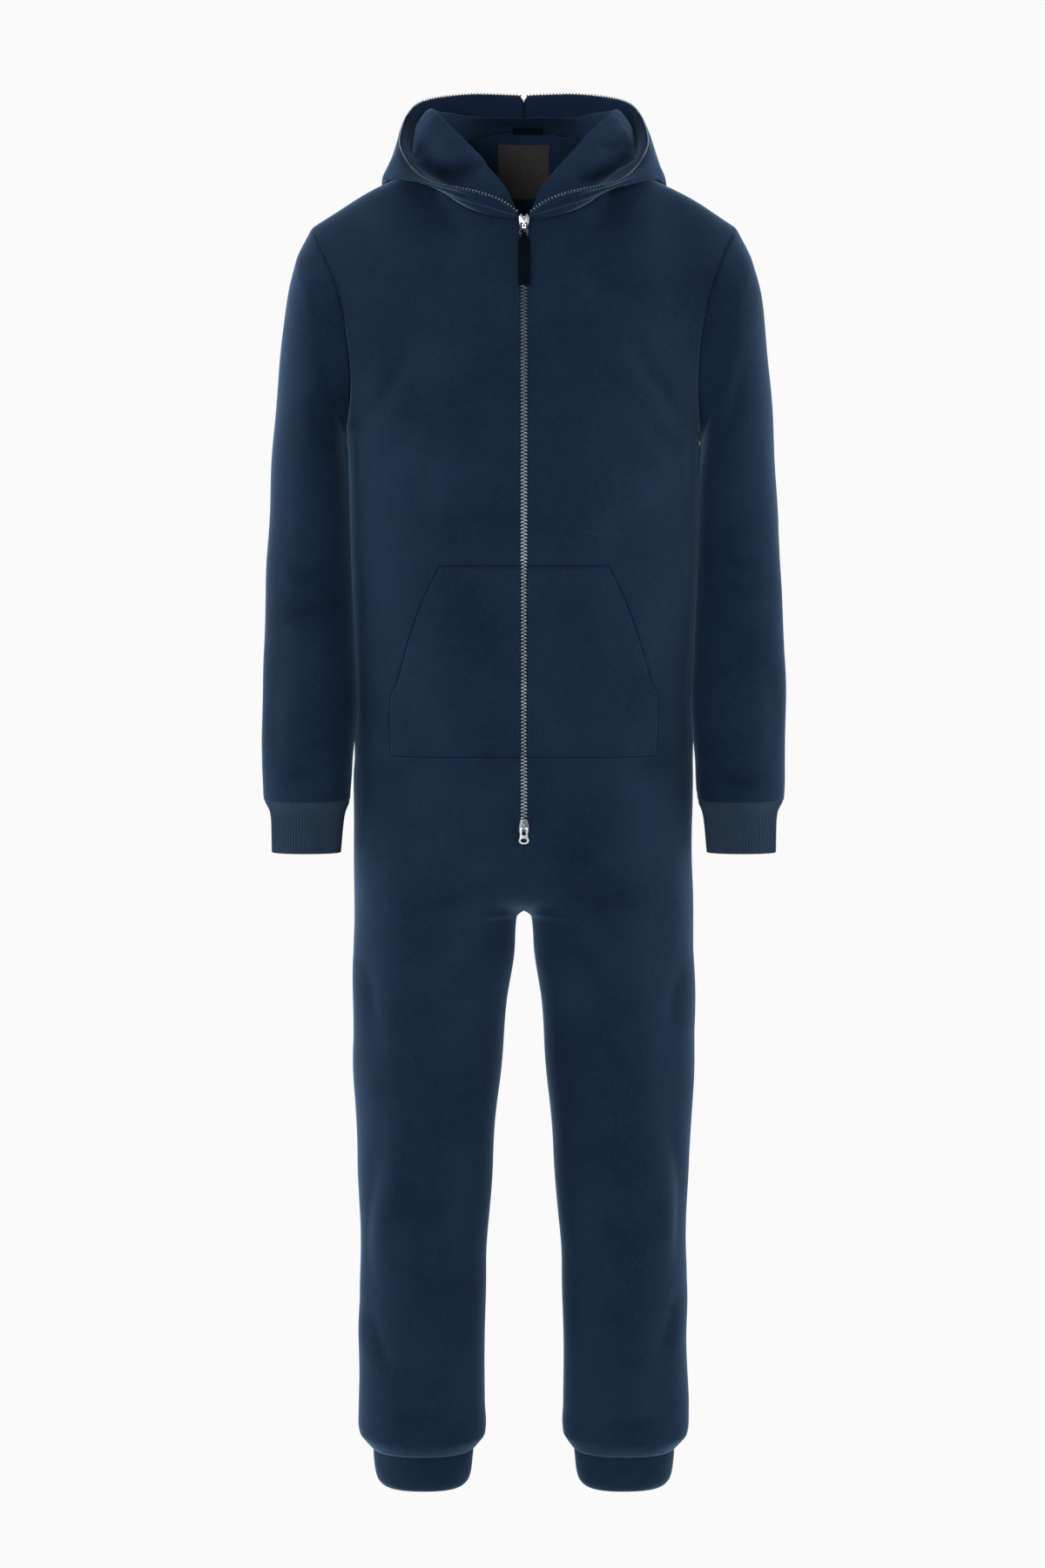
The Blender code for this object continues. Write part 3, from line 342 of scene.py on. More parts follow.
def round_off(share, roundness):
    return np.maximum(1.0 - share**roundness, 0.0) ** (1.0 / roundness)


def hill(gap, width):
    """Soft bump: 1 at no gap, dying away over the width."""
    return np.exp(-((gap / width) ** 2))


def circle(count, start=0.0):
    """Angles of even steps round a circle, the first a share of a step on."""
    return 2.0 * np.pi * (np.arange(count) + start) / count


def curve(start, end, leaving, arriving, share):
    """Smooth way from start to end with the slopes it leaves and arrives by."""
    way = start + (end - start) * share * share * (3.0 - 2.0 * share)
    return way + leaving * share * (1.0 - share) ** 2 - arriving * share * share * (1.0 - share)


def closer_ends(low, high, ends, gap, count):
    """Even steps between two places, a gap in from both, with the named closer ones at the ends."""
    way = np.sign(high - low)
    ends = np.array(ends) * way
    middle = np.linspace(low + gap * way, high - gap * way, count)
    return np.concatenate([low + ends, middle, high - ends[::-1]])


def stack(*columns):
    return np.stack(np.broadcast_arrays(*columns), axis=-1).astype(float)


def sided(points, mirrored):
    """Points or directions of the wearer's left, turned over for the right."""
    return points * (-1.0, 1.0, 1.0) if mirrored else points


def linked(name, data):
    piece = bpy.data.objects.new(name, data)
    bpy.context.collection.objects.link(piece)
    return piece


def smooth_mesh(name, points, faces, material=None):
    """Smooth-shaded object from points in metres."""
    mesh = bpy.data.meshes.new(name)
    mesh.from_pydata(np.array(points).tolist(), [], [tuple(map(int, face)) for face in faces])
    if material:
        mesh.materials.append(material)
    mesh.shade_smooth()
    return linked(name, mesh)


def add_mesh(name, points, faces, material):
    """Piece from millimetre points above the hems."""
    points = np.array(points, dtype=float) - (0.0, 0.0, ORIGIN_HEIGHT)
    return smooth_mesh(name, points * 0.001, faces, material)


def facing_out(piece):
    """Turns a closed piece's faces outward."""
    editable = bmesh.new()
    editable.from_mesh(piece.data)
    bmesh.ops.recalc_face_normals(editable, faces=editable.faces[:])
    editable.to_mesh(piece.data)
    editable.free()
    return piece


def outward(grid, closed, sign):
    """Normals of a grid of points, rows by columns."""
    if closed:
        along = np.roll(grid, -1, axis=1) - np.roll(grid, 1, axis=1)
    else:
        along = np.gradient(grid, axis=1)
    return unit(np.cross(along, np.gradient(grid, axis=0))) * sign


def wall_faces(rows, columns, closed, sign):
    """Quads of a closed wall: an outer grid, an inner grid, and the rims between them."""
    shift = rows * columns
    strips = np.arange(columns if closed else columns - 1)
    after = (strips + 1) % columns
    faces = []
    for i in range(rows - 1):
        a, b = i * columns + strips, i * columns + after
        d, c = a + columns, b + columns
        faces += [np.stack([a, b, c, d], 1), np.stack([d, c, b, a], 1) + shift]
    last = (rows - 1) * columns
    faces.append(np.stack([strips, strips + shift, after + shift, after], 1))
    faces.append(np.stack([last + after, last + after + shift, last + strips + shift, last + strips], 1))
    if not closed:
        a = np.arange(rows - 1) * columns
        b = a + columns
        faces.append(np.stack([b, b + shift, a + shift, a], 1))
        a, b = a + columns - 1, b + columns - 1
        faces.append(np.stack([a, a + shift, b + shift, b], 1))
    faces = np.concatenate(faces)
    return faces[:, ::-1] if sign < 0 else faces


def closed_wall(name, outer, inner, closed, sign, material):
    """Piece of cloth between an outer and an inner grid of points."""
    points = np.concatenate([outer.reshape(-1, 3), inner.reshape(-1, 3)])
    return add_mesh(name, points, wall_faces(*outer.shape[:2], closed, sign), material)


def loop_faces(rows, count):
    """Faces of a closed solid through rows of equal loops, capped at its ends."""
    j = np.arange(count)
    k = (j + 1) % count
    faces = [list(j[::-1]), list((rows - 1) * count + j)]
    for first in range(0, (rows - 1) * count, count):
        faces += np.stack([first + j, first + k, first + count + k, first + count + j], 1).tolist()
    return faces


def seam_flat(normals, rows, columns, axis):
    """Edge normals laid into the seam's plane, so that two walls meet edge to edge."""
    normals[rows, columns, axis] = 0.0
    normals[rows, columns] = unit(normals[rows, columns])


def run_along(grid):
    """Distance of each point along its row from the row's start."""
    return np.pad(np.cumsum(np.linalg.norm(np.diff(grid, axis=1), axis=2), axis=1), ((0, 0), (1, 0)))


def edge_distance(grid, edges):
    """Distance of each point from the nearest of the named edges, along the grid's lines."""
    across, down = run_along(grid), run_along(grid.swapaxes(0, 1)).T
    away = {"first": across, "last": across[:, -1:] - across, "top": down, "bottom": down[-1:] - down}
    return np.min([away[edge] for edge in edges], axis=0)


def rounded(distance, depth, width):
    """How far in the face of a rounded edge lies."""
    near = np.clip(1.0 - distance / width, 0.0, 1.0)
    return depth * (1.0 - np.sqrt(1.0 - near * near))


def seam_roll(grid, edges, depth=SEAM_ROLL_DEPTH, width=SEAM_ROLL_WIDTH):
    """How far the cloth turns in towards its sewn edges."""
    return rounded(edge_distance(grid, edges), depth, width)


# --- Forms of the body -------------------------------------------------------------------------
def centre_edge(face, height):
    """Half the gap at the centre: the zip's width, closing below its end."""
    if face == BACK:
        return np.zeros_like(np.asarray(height, dtype=float)) + SEAM_HALF_GAP
    closing = smooth((np.asarray(height, dtype=float) - ZIP_BOTTOM + 6.0) / 6.0)
    return SEAM_HALF_GAP + (ZIP_SLOT_HALF - SEAM_HALF_GAP) * closing


def neck_point(angle, edge):
    """Neck seam, by the angle round the neck in radians from the zip."""
    x = edge + (NECK_HALF_WIDTH - edge) * np.sin(angle)
    height = NECK_MEAN_HEIGHT - NECK_RISE * np.cos(angle) + NECK_SIDE_LIFT * np.sin(angle) ** 6
    return stack(x, NECK_CENTRE_Y - NECK_HALF_DEPTH * np.cos(angle), height)


def neck_share(face):
    """Share of the way from a panel's centre edge to its shoulder tip where the neck ends."""
    edge = centre_edge(face, SHOULDER_HEIGHT)
    return float((NECK_HALF_WIDTH - edge) / (SHOULDER_X - edge))


def top_points(face, shares):
    """Neckline and shoulder seam of a panel, by the share of the way out from the centre."""
    neck = neck_share(face)
    lean = np.arcsin(np.clip(shares / neck, 0.0, 1.0))
    neckline = neck_point(lean if face == FRONT else np.pi - lean, centre_edge(face, SHOULDER_HEIGHT))
    side = neck_point(np.pi / 2, 0.0)
    s = np.clip((shares - neck) / (1.0 - neck), 0.0, 1.0)[:, None]
    seam = side + (np.array([SHOULDER_X, 0.0, SHOULDER_HEIGHT]) - side) * s
    seam[:, 2] += SHOULDER_ROUND * np.sin(np.pi * s[:, 0])
    return np.where(shares[:, None] <= neck, neckline, seam)


def soft_top(face, shares):
    """The same line with the corner at the side of the neck eased away, for the rows below it."""
    along = np.linspace(0.0, 1.0, 201)
    near = hill(shares[:, None] - along, CORNER_EASE)
    eased = near @ top_points(face, along) / near.sum(axis=1, keepdims=True)
    window = smooth(1.0 - np.abs(shares - neck_share(face)) / 0.36)[:, None]
    line = top_points(face, shares)
    return line + (eased - line) * window


def armhole_point(turn):
    """Armhole seam: 0 at the shoulder, a half turn at the underarm, by way of the front."""
    c, s = np.cos(turn), np.sin(turn)
    x = ARMHOLE_X + ARMHOLE_LEAN * c - ARMHOLE_SCOOP * s * s
    return stack(x, -ARMHOLE_HALF_DEPTH * s, ARMHOLE_HEIGHT + ARMHOLE_HALF_HEIGHT * c)


def armhole_blend(normals, turns, face):
    """Edge normals eased, towards the shoulder, into the ones that body and sleeve share."""
    c = np.cos(turns)
    shared = unit(stack(0.375 * (1.0 + c), -np.sin(turns), c)) * (1.0, -face, 1.0)
    weight = np.clip(1.0 + 2.0 * c, 0.0, 1.0)[:, None]
    return unit(shared * weight + normals * (1.0 - weight))


def yoke_row(face, turn, shares):
    """Row of a panel above the underarm; turn runs down the armhole."""
    edge_t = (1.0 - math.cos(turn)) / 2
    t = (turn / math.pi) ** 1.6
    t = t + (edge_t - t) * shares**3
    top = top_points(face, shares)
    top = top + (soft_top(face, shares) - top) * smooth(t / 0.16)[:, None]
    seam = armhole_point(turn)
    height = top[:, 2] + (UNDERARM_HEIGHT - top[:, 2]) * t
    edge = centre_edge(face, height)
    depth = TORSO.at(height)[:, 1 if face == FRONT else 2]
    out = np.minimum(shares / 0.68, 1.0)
    ease = (2.0 * t - t * t) ** (0.95 - 0.57 * smooth(out))
    full = round_off(shares, TORSO_ROUNDNESS)
    y = top[:, 1] * (1.0 - ease) + full * depth * ease + face * abs(seam[1]) * (1.0 - full) ** 1.6
    return stack(edge + (seam[0] - edge) * shares, y, height)


def leg_section(face, height, angle):
    """Half a leg's section: angle 0 at the inseam, a half turn at the side seam."""
    inner, outer, front, back = LEG.at(height)
    c = power(np.cos(angle), 2.0 / LEG_ROUNDNESS)
    s = np.abs(np.sin(angle)) ** (2.0 / LEG_ROUNDNESS)
    return (inner + outer) / 2 - (outer - inner) / 2 * c, (front if face == FRONT else back) * s


def lower_row(face, height, angles):
    """Row of a panel below the underarm; angles run a quarter turn from the centre to the side."""
    if height < CROTCH_HEIGHT:
        x, y = leg_section(face, height, 2.0 * angles)
        return stack(x, y, height)
    share = np.sin(angles) ** (2.0 / TORSO_ROUNDNESS)
    half_width, front, back = TORSO.at(height)
    depth = front if face == FRONT else back
    edge = float(centre_edge(face, height))
    x = edge + (half_width - edge) * share
    if height >= HIP_HEIGHT:
        return stack(x, depth * round_off(share, TORSO_ROUNDNESS), height)
    s = (HIP_HEIGHT - height) / (HIP_HEIGHT - CROTCH_HEIGHT)
    blend = s * s * (3.0 - 2.0 * s)
    leg_x = leg_section(face, CROTCH_HEIGHT, 2.0 * angles)[0]
    inseam, side = [leg_section(face, CROTCH_HEIGHT, turn)[0] for turn in (0.0, math.pi)]
    leg_x = edge + (leg_x - inseam) * (half_width - edge) / (side - inseam)
    x = x + (leg_x - x) * blend
    widest = max(half_width / 2 * blend, 1e-6)
    roundness = TORSO_ROUNDNESS + (LEG_ROUNDNESS - TORSO_ROUNDNESS) * blend
    outer = round_off(np.clip((x - widest) / (half_width - widest), 0.0, 1.0), roundness)
    short = 1.0 - round_off(np.clip((widest - x) / widest, 0.0, 1.0), roundness)
    dip = max(1.0 - math.sqrt(max(1.0 - s**CROTCH_HOLLOW, 0.0)), 1e-9)
    inner = 1.0 - short * dip / (short**3 + dip**3 - (short * dip) ** 3) ** (1.0 / 3.0)
    return stack(x, depth * np.where(x > widest, outer, inner), height)


def edge_steps(width):
    """Close steps near a sewn edge, as shares of a width."""
    return [step / width for step in (0.0, 0.35, 0.9, 1.7, 2.8, 4.2)]


def panel_columns(face):
    """Columns of a panel: close at its seams, even steps round the neck, then out to the side."""
    neck = neck_share(face)
    quarter = np.pi / 2
    leans = edge_steps(150.0) + list(np.linspace(0.045, 1.0, 15))
    shares = [neck * math.sin(quarter * lean) for lean in leans]
    first = math.asin(SIDE_SHARE ** (TORSO_ROUNDNESS / 2))
    ends = sorted(1.0 - step for step in edge_steps(170.0))
    for out in list(np.linspace(0.0, 1.0, 34)[1:-1]) + ends:
        share = math.sin(first + (quarter - first) * out) ** (2.0 / TORSO_ROUNDNESS)
        shares.append(neck + (1.0 - neck) * (share - SIDE_SHARE) / (1.0 - SIDE_SHARE))
    return np.array(shares)


def panel_heights():
    """Heights of the rows below the underarm, closer at the zip's end, crotch and cuff."""
    body = [1249.0 - 6.0 * i for i in range(66)] + [854.0 - 5.0 * i for i in range(13)]
    crotch = [790, 787, 784, 781, 778, 774, 769, 763, 757, 751, 745, 739, 733, 727, 722, 717, 713]
    crotch += [709, 706, 703, 700.5, 698.5, 697, 696, 695.4, 695.1]
    crotch += [694.9, 694.3, 693, 691, 688.5, 685.5, 682, 678, 673, 668]
    leg = [662.0 - 6.0 * i for i in range(97)]
    cuff = [81.5, 78, 75, 72, 69.5, 67, 65, 63, 61, 59, 57, 55, 53, 51, 49.5, 48, 47, 46]
    return body + crotch + leg + cuff


def panel_grid(face):
    """Outer points of a front or back, from shoulder to leg cuff, and where its parts begin."""
    shares = panel_columns(face)
    angles = np.arcsin(np.clip(shares, 0.0, 1.0) ** (TORSO_ROUNDNESS / 2))
    turns = np.linspace(0.0, math.pi, 50)
    turns = np.concatenate([[0.0, 0.02, 0.04], turns[1:]])
    rows = [yoke_row(face, turn, shares) for turn in turns]
    heights = panel_heights()
    rows += [lower_row(face, height, angles) for height in heights]
    yoke = len(turns)
    crotch = yoke + next(i for i, height in enumerate(heights) if height < CROTCH_HEIGHT)
    return np.array(rows), turns, crotch


def panel_normals(face, grid, turns, crotch):
    """Directions out of a panel, each seam's edge square to the seam."""
    normals = outward(grid, False, face)
    neck = int(np.sum(grid[0, :, 0] < NECK_HALF_WIDTH - 0.01))
    seam_flat(normals, slice(None, crotch), 0, 0)
    seam_flat(normals, slice(crotch + 1, None), 0, 1)
    seam_flat(normals, slice(len(turns) - 1, None), -1, 1)
    seam_flat(normals, 0, slice(neck, None), 1)
    seam_flat(normals, -1, slice(None), 2)
    normals[crotch, 0] = (0.0, 0.0, -1.0)
    normals[: len(turns), -1] = armhole_blend(normals[: len(turns), -1], turns, face)
    return normals


outsides = {}  # finished outer grids and their outward directions, by piece


def shell(
    name, grid, normals, inset, shade_and_pressing, material, mirrored,
    wall=FLEECE_WALL, closed=False, sign=1.0, relief=None,
):
    """Two-sided cloth from a grid: the outside sinks at its seams and takes the relief."""
    outer, inner = grid - normals * inset[..., None], grid - normals * wall
    outer, inner, normals = [sided(part, mirrored) for part in (outer, inner, normals)]
    lift, crease_shade = (relief or body_relief)(outer, normals)
    outer, inner = outer + lift[..., None] * normals, inner + lift[..., None] * normals
    outsides[name] = outer, normals
    piece = closed_wall(name, outer, inner, closed, -sign if mirrored else sign, material)
    # Painted shade: the creases' shade from the relief joins the given marks to darken the finish
    mark_shade_and_pressing(piece, np.concatenate([np.maximum(shade_and_pressing, crease_shade).ravel(), np.zeros(shade_and_pressing.size)]))
    return piece


def mark_shade_and_pressing(piece, shares):
    """Marks, 0 to 1, how far each point is darkened: painted shade in creases, hollows, seams and along the
    chain, with the nap laid flat at the seams.
    """
    marks = piece.data.attributes.new("shade_and_pressing", "FLOAT", "POINT")
    marks.data.foreach_set("value", shares.astype(np.float32))


def near_seam(grid, edges, share, width):
    """How far the cloth is darkened along sewn edges: painted shade for the seam's hollow, with the nap laid
    flat there.
    """
    return share * hill(edge_distance(grid, edges), width)


def beside_edge(name, edge, distance):
    """Line on a piece's outside an even distance in from one edge, with its directions out of the cloth."""
    outer, ways = outsides[name]
    if edge in ("top", "bottom"):
        outer, ways = outer.swapaxes(0, 1), ways.swapaxes(0, 1)
    if edge in ("last", "bottom"):
        outer, ways = outer[:, ::-1], ways[:, ::-1]
    run = run_along(outer)
    after = np.maximum((run < distance).sum(axis=1), 1)
    i = np.arange(len(outer))
    share = ((distance - run[i, after - 1]) / (run[i, after] - run[i, after - 1]))[:, None]
    line = outer[i, after - 1] * (1.0 - share) + outer[i, after] * share
    return line, unit(ways[i, after - 1] * (1.0 - share) + ways[i, after] * share)


def make_panel(name, face, mirrored, material):
    """One front or back from shoulder to ankle."""
    grid, turns, crotch = panel_grid(face)
    normals = panel_normals(face, grid, turns, crotch)
    inset = np.maximum(seam_roll(grid, ("last", "top", "bottom")), seam_roll(grid, ("first",), 0.45, 3.0))
    nudge = np.array([0.0, face * SEAM_HALF_GAP, 0.0])
    grid[len(turns) - 1 :, -1] += nudge
    grid[crotch:, 0] += nudge
    # Painted shade along the seams, with the nap laid flat there
    shade_and_pressing = near_seam(grid, ("last", "top", "bottom"), 0.45, 1.8)
    return shell(name, grid, normals, inset, shade_and_pressing, material, mirrored, sign=face)


def ring(outer, inner, half_depth, centre_y, roundness, turns):
    """Closed ring between two edges (x, height): 0 at the outer one, a quarter turn to the front."""
    x, height = (np.array(outer) + inner) / 2
    half_x, half_height = (np.array(outer) - inner) / 2
    c, s = power(np.cos(turns), 2.0 / roundness), power(np.sin(turns), 2.0 / roundness)
    return stack(x + half_x * c, centre_y - half_depth * s, height + half_height * c)


def sleeve_ring(key, turns):
    """Ring of the sleeve by its row in the table."""
    outer_x, outer_h, inner_x, inner_h, half_depth, centre_y = SLEEVE.at(key)
    return ring((outer_x, outer_h), (inner_x, inner_h), half_depth, centre_y, SLEEVE_ROUNDNESS, turns)


def beside_body(grid):
    """Sleeve flattened where its inner side hangs against the body."""
    half_width, front, back = np.moveaxis(TORSO.at(grid[..., 2]), -1, 0)
    depth = np.where(grid[..., 1] < 0.0, -front, back)
    side = half_width * round_off(np.clip(np.abs(grid[..., 1]) / depth, 0.0, 1.0), TORSO_ROUNDNESS)
    short = side + SLEEVE_CLEAR - grid[..., 0]
    soft = 0.5 * (short + np.sqrt(short * short + 0.5))
    below = smooth((UNDERARM_HEIGHT - 8.0 - grid[..., 2]) / 22.0)
    grid[..., 0] += np.where(short > -6.0, soft, 0.0) * below
    return grid


def make_sleeve(name, mirrored, material):
    """Set-in sleeve from the armhole seam to the cuff, gathered in a little at the cuff."""
    turns = circle(SLEEVE_COLUMNS)
    cap = armhole_point(turns) + (2.0 * SEAM_HALF_GAP, 0.0, 0.0)
    first = sleeve_ring(1.0, turns)
    onward = (sleeve_ring(1.02, turns) - first) * 50.0 * 0.8
    shares = (0.0, 0.02, 0.05, 0.1, 0.17, 0.27, 0.4, 0.55, 0.7, 0.85)
    rows = [curve(cap, first, first - cap, onward, share) for share in shares]
    keys = list(np.linspace(1.0, 9.0, 88)) + list(np.linspace(9.0, 10.0, 10)[1:])
    keys += [10.0 + k for k in (0.12, 0.24, 0.36, 0.48, 0.6, 0.7, 0.8, 0.87, 0.93, 0.97, 1.0)]
    rows += [sleeve_ring(key, turns) for key in keys]
    grid = beside_body(np.array(rows))
    normals = outward(grid, True, 1.0)
    normals[0] = armhole_blend(normals[0], turns, FRONT)
    seam_flat(normals, -1, slice(None), 2)
    inset = seam_roll(grid, ("top", "bottom"))
    # Painted shade along the seams, with the nap laid flat there
    shade_and_pressing = near_seam(grid, ("top", "bottom"), 0.45, 1.8)
    return shell(name, grid, normals, inset, shade_and_pressing, material, mirrored, closed=True)


def make_cuff(name, table, roundness, ribs, rib_height, mirrored, material):
    """Ribbed cuff: a folded knit tube with rounded ribs, drawn in where it is sewn on."""
    turns = circle(ribs * COLUMNS_PER_RIB)
    top, hem = table.key[-1], table.key[0]
    heights = [top - d for d in (0.0, 0.4, 1.0, 1.8, 2.8, 4.0, 5.5, 7.5)]
    heights += list(np.linspace(top - 10.0, hem + 4.0, max(int((top - hem) / 3.5), 4)))
    heights = np.array(heights + [hem + d for d in (2.6, 1.6, 0.9, 0.4, 0.1, 0.0)])
    rows = []
    for height in heights:
        inner_x, outer_x, half_depth, centre_y = table.at(height)
        rows.append(ring((outer_x, height), (inner_x, height), half_depth, centre_y, roundness, turns))
    grid = np.array(rows)
    normals = outward(grid, True, 1.0)
    seam_flat(normals, slice(None), slice(None), 2)
    ribbing = 0.5 - 0.5 * np.cos(2.0 * np.pi * np.arange(len(turns)) / COLUMNS_PER_RIB)
    hem_round = rounded(heights - hem, 0.5 * RIB_WALL, 0.5 * RIB_WALL)
    seam_in = 0.9 * np.clip(1.0 - (top - heights) / 4.0, 0.0, 1.0) ** 2
    wave = 0.35 * np.sin(turns * 3.0 + 1.0)[None, :] * smooth((top - heights) / 12.0)[:, None]
    inset = (hem_round + seam_in)[:, None] + ribbing[None, :] * rib_height - wave
    outer = sided(grid - normals * inset[..., None], mirrored)
    inner = sided(grid - normals * (RIB_WALL - hem_round)[:, None, None], mirrored)
    return closed_wall(name, outer, inner, True, -1.0 if mirrored else 1.0, material)


# --- Forms of the hood -------------------------------------------------------------------------
def spline(knots, count, ends=()):
    """Smooth runs of points through the knots of many profiles, with closer steps at the ends."""
    knots = np.stack(knots, axis=1)
    slopes = np.gradient(knots, axis=1)
    last = knots.shape[1] - 1.0
    u = np.concatenate([np.linspace(0.0, last, count), ends, last - np.array(ends)])
    u = np.unique(np.round(u, 6))
    i = np.minimum(u.astype(int), knots.shape[1] - 2)
    s = (u - i)[None, :, None]
    return curve(knots[:, i], knots[:, i + 1], slopes[:, i], slopes[:, i + 1], s)


def hood_frame(degrees):
    """Edge of the hood with its three directions: along, up out of the cloth, outward."""
    edge = HOOD_EDGE.at(degrees)
    ahead, behind = np.minimum(degrees + 2.0, 180.0), np.maximum(degrees - 2.0, 0.0)
    along = unit(HOOD_EDGE.at(ahead) - HOOD_EDGE.at(behind))
    up = edge - (HOOD_OUTER.at(degrees) + HOOD_GUTTER.at(degrees)) / 2
    up = unit(up - along * np.sum(up * along, axis=-1, keepdims=True))
    return edge, along, up, np.cross(along, up)


def neck_seam(degrees):
    """Neck seam at the hood, by the angle round the neck from the zip."""
    edge = np.where(degrees < 90.0, ZIP_SLOT_HALF, SEAM_HALF_GAP)
    radians = np.radians(degrees)
    start = math.asin((HOOD_FRONT_X - ZIP_SLOT_HALF) / (NECK_HALF_WIDTH - ZIP_SLOT_HALF))
    return neck_point(np.maximum(radians, start), edge)


def centre_back(points):
    """Keeps the last profile of a half at the hood's centre seam, but for its notched edge."""
    edge = 0 if points[-1, 0, 0] > points[-1, -1, 0] else -1
    fall = np.linalg.norm(points[-1] - points[-1, edge], axis=1)
    points[-1, :, 0] = np.maximum(SEAM_HALF_GAP, points[-1, edge, 0] - NOTCH_SLOPE * fall)
    return points


def round_neck(degrees):
    """Level directions away from the neck."""
    radians = np.radians(degrees)
    return stack(np.sin(radians), -np.cos(radians), 0.0 * radians)


def hood_outer_grid(degrees):
    """Profiles of the hood's outside, from the neck seam over the roll to the zipped edge."""
    edge, _, up, out = hood_frame(degrees)
    under, roll, outer = HOOD_UNDER.at(degrees), HOOD_ROLL.at(degrees), HOOD_OUTER.at(degrees)
    full = 2.0 + HOOD_FULLNESS * np.clip((degrees - 80.0) / 60.0, 0.0, 1.0)
    way = round_neck(degrees) * full[:, None]
    low_inside = under + (roll - under) * 0.75 - way * 0.5
    low_outside = roll + (outer - roll) * 0.3 + way * 0.6
    seam = neck_seam(degrees) + (0.0, 0.0, 2.0 * SEAM_HALF_GAP)
    rim = edge - up * HOOD_TOOTH_RISE + out * (FLEECE_WALL + 0.1)
    return centre_back(spline([seam, under, low_inside, roll, low_outside, outer, rim], 73, PROFILE_ENDS))


def hood_lining_grid(degrees):
    """Profiles of the hood's inside, from the zipped edge by its gutter and crest to the neck."""
    edge, _, up, out = hood_frame(degrees)
    start = neck_seam(degrees)
    inward = unit(stack(0.0, NECK_CENTRE_Y, start[:, 2]) - start)
    top = edge - up * (HOOD_TOOTH_RISE + 0.3) - out * (LINING_WALL + 0.1)
    gutter, crest = HOOD_GUTTER.at(degrees), HOOD_CREST.at(degrees)
    foot = start + inward * (FLEECE_WALL + 0.3 + LINING_WALL) + (0.0, 0.0, 2.0)
    reach = np.linalg.norm(gutter - top, axis=1, keepdims=True)
    facing = top + (gutter - top) * 0.5 + out * 0.06 * reach
    clear = LINING_CLEAR * np.clip((degrees - 120.0) / 30.0, 0.0, 1.0)
    puff = PUFF * smooth((degrees - 18.0) / 40.0) * smooth((152.0 - degrees) / 34.0)
    rise = (gutter + crest) / 2 + round_neck(degrees) * clear[:, None]
    rise = rise + (round_neck(degrees) * 0.75 + (0.0, 0.0, 0.66)) * puff[:, None]
    swell = (crest + foot) / 2 - round_neck(degrees) * 0.45 * puff[:, None]
    return centre_back(spline([top, facing, gutter, rise, crest, swell, foot], 91, PROFILE_ENDS))


def make_hood(name, grid_of, wall, edge_column, mirrored, material):
    """Half of the hood's outer or inner cloth, its free edge square under the zip."""
    degrees = np.concatenate([[0.0], np.linspace(2.0, 178.0, 148), [179.0, 179.6, 180.0]])
    grid = grid_of(degrees)
    normals = outward(grid, False, -1.0)
    normals[:, edge_column] = hood_frame(degrees)[3] * (1.0 if edge_column else -1.0)
    seam_flat(normals, -1, slice(None), 0)
    seam_flat(normals, 0, slice(None), 0)
    inset = seam_roll(grid, ("bottom", "first" if edge_column else "last"), depth=0.9)
    inset = np.minimum(inset, wall * 0.6)
    # Painted shade along the seams, with the nap laid flat there
    shade_and_pressing = near_seam(grid, ("bottom", "top"), 0.6, 2.5)
    if not edge_column:
        # Painted shade: the lining darkened towards the back of the hood, away from the rim, and in the
        # gutter beside the rim, where the hood's own shade falls
        from_rim = edge_distance(grid, ("first",))
        collar_shade = smooth((degrees - 112.0) / 40.0)[:, None] * smooth(from_rim / 24.0 - 1.0)
        beside = smooth((degrees - 45.0) / 25.0) * smooth((140.0 - degrees) / 25.0)
        gutter = hill(from_rim - 26.0, 13.0) * beside[:, None]
        shade_and_pressing = np.maximum(shade_and_pressing, np.maximum(0.85 * collar_shade, 0.65 * gutter))
    folds = HOOD_FOLDS if edge_column else LINING_FOLDS
    return shell(
        name, grid, normals, inset, shade_and_pressing, material, mirrored, wall=wall, sign=-1.0,
        relief=lambda points, _normals: hood_relief(points, folds),
    )


def pocket_grid():
    """Places of half the pocket on the front, top row first."""
    heights = closer_ends(POCKET.key[-1], POCKET.key[0], POCKET_EDGE_STEPS, 9.0, 44)
    outer_x = POCKET.at(heights)[:, :1]
    half_width, depth = TORSO.at(heights)[:, :1], TORSO.at(heights)[:, 1:2]
    across = closer_ends(0.0, 1.0, np.array(POCKET_EDGE_STEPS) / 152.0, 9.0 / 152.0, 28)[None, :]
    x = ZIP_SLOT_HALF + 1.0 + (outer_x - ZIP_SLOT_HALF - 1.0) * across
    share = (x - ZIP_SLOT_HALF) / (half_width - ZIP_SLOT_HALF)
    return stack(x, depth * round_off(share, TORSO_ROUNDNESS), heights[:, None] + 0.0 * x)


def make_pocket(name, mirrored, material):
    """Half of the kangaroo pocket, lying on the front."""
    base = pocket_grid()
    normals = outward(base, False, FRONT)
    outer = base + normals * (0.5 + POCKET_WALL)
    inset = seam_roll(outer, ("first", "last", "top", "bottom"), depth=1.4, width=1.8)
    sewn = edge_distance(outer, ("last", "top", "bottom"))
    inset += POCKET_CHANNEL * hill(sewn - POCKET_STITCH, 0.9)
    # Painted shade along the pocket's sewn edges, with the nap laid flat there
    shade_and_pressing = near_seam(outer, ("last", "top", "bottom"), 1.0, 2.3)
    return shell(name, outer, normals, inset, shade_and_pressing, material, mirrored, POCKET_WALL, sign=FRONT)


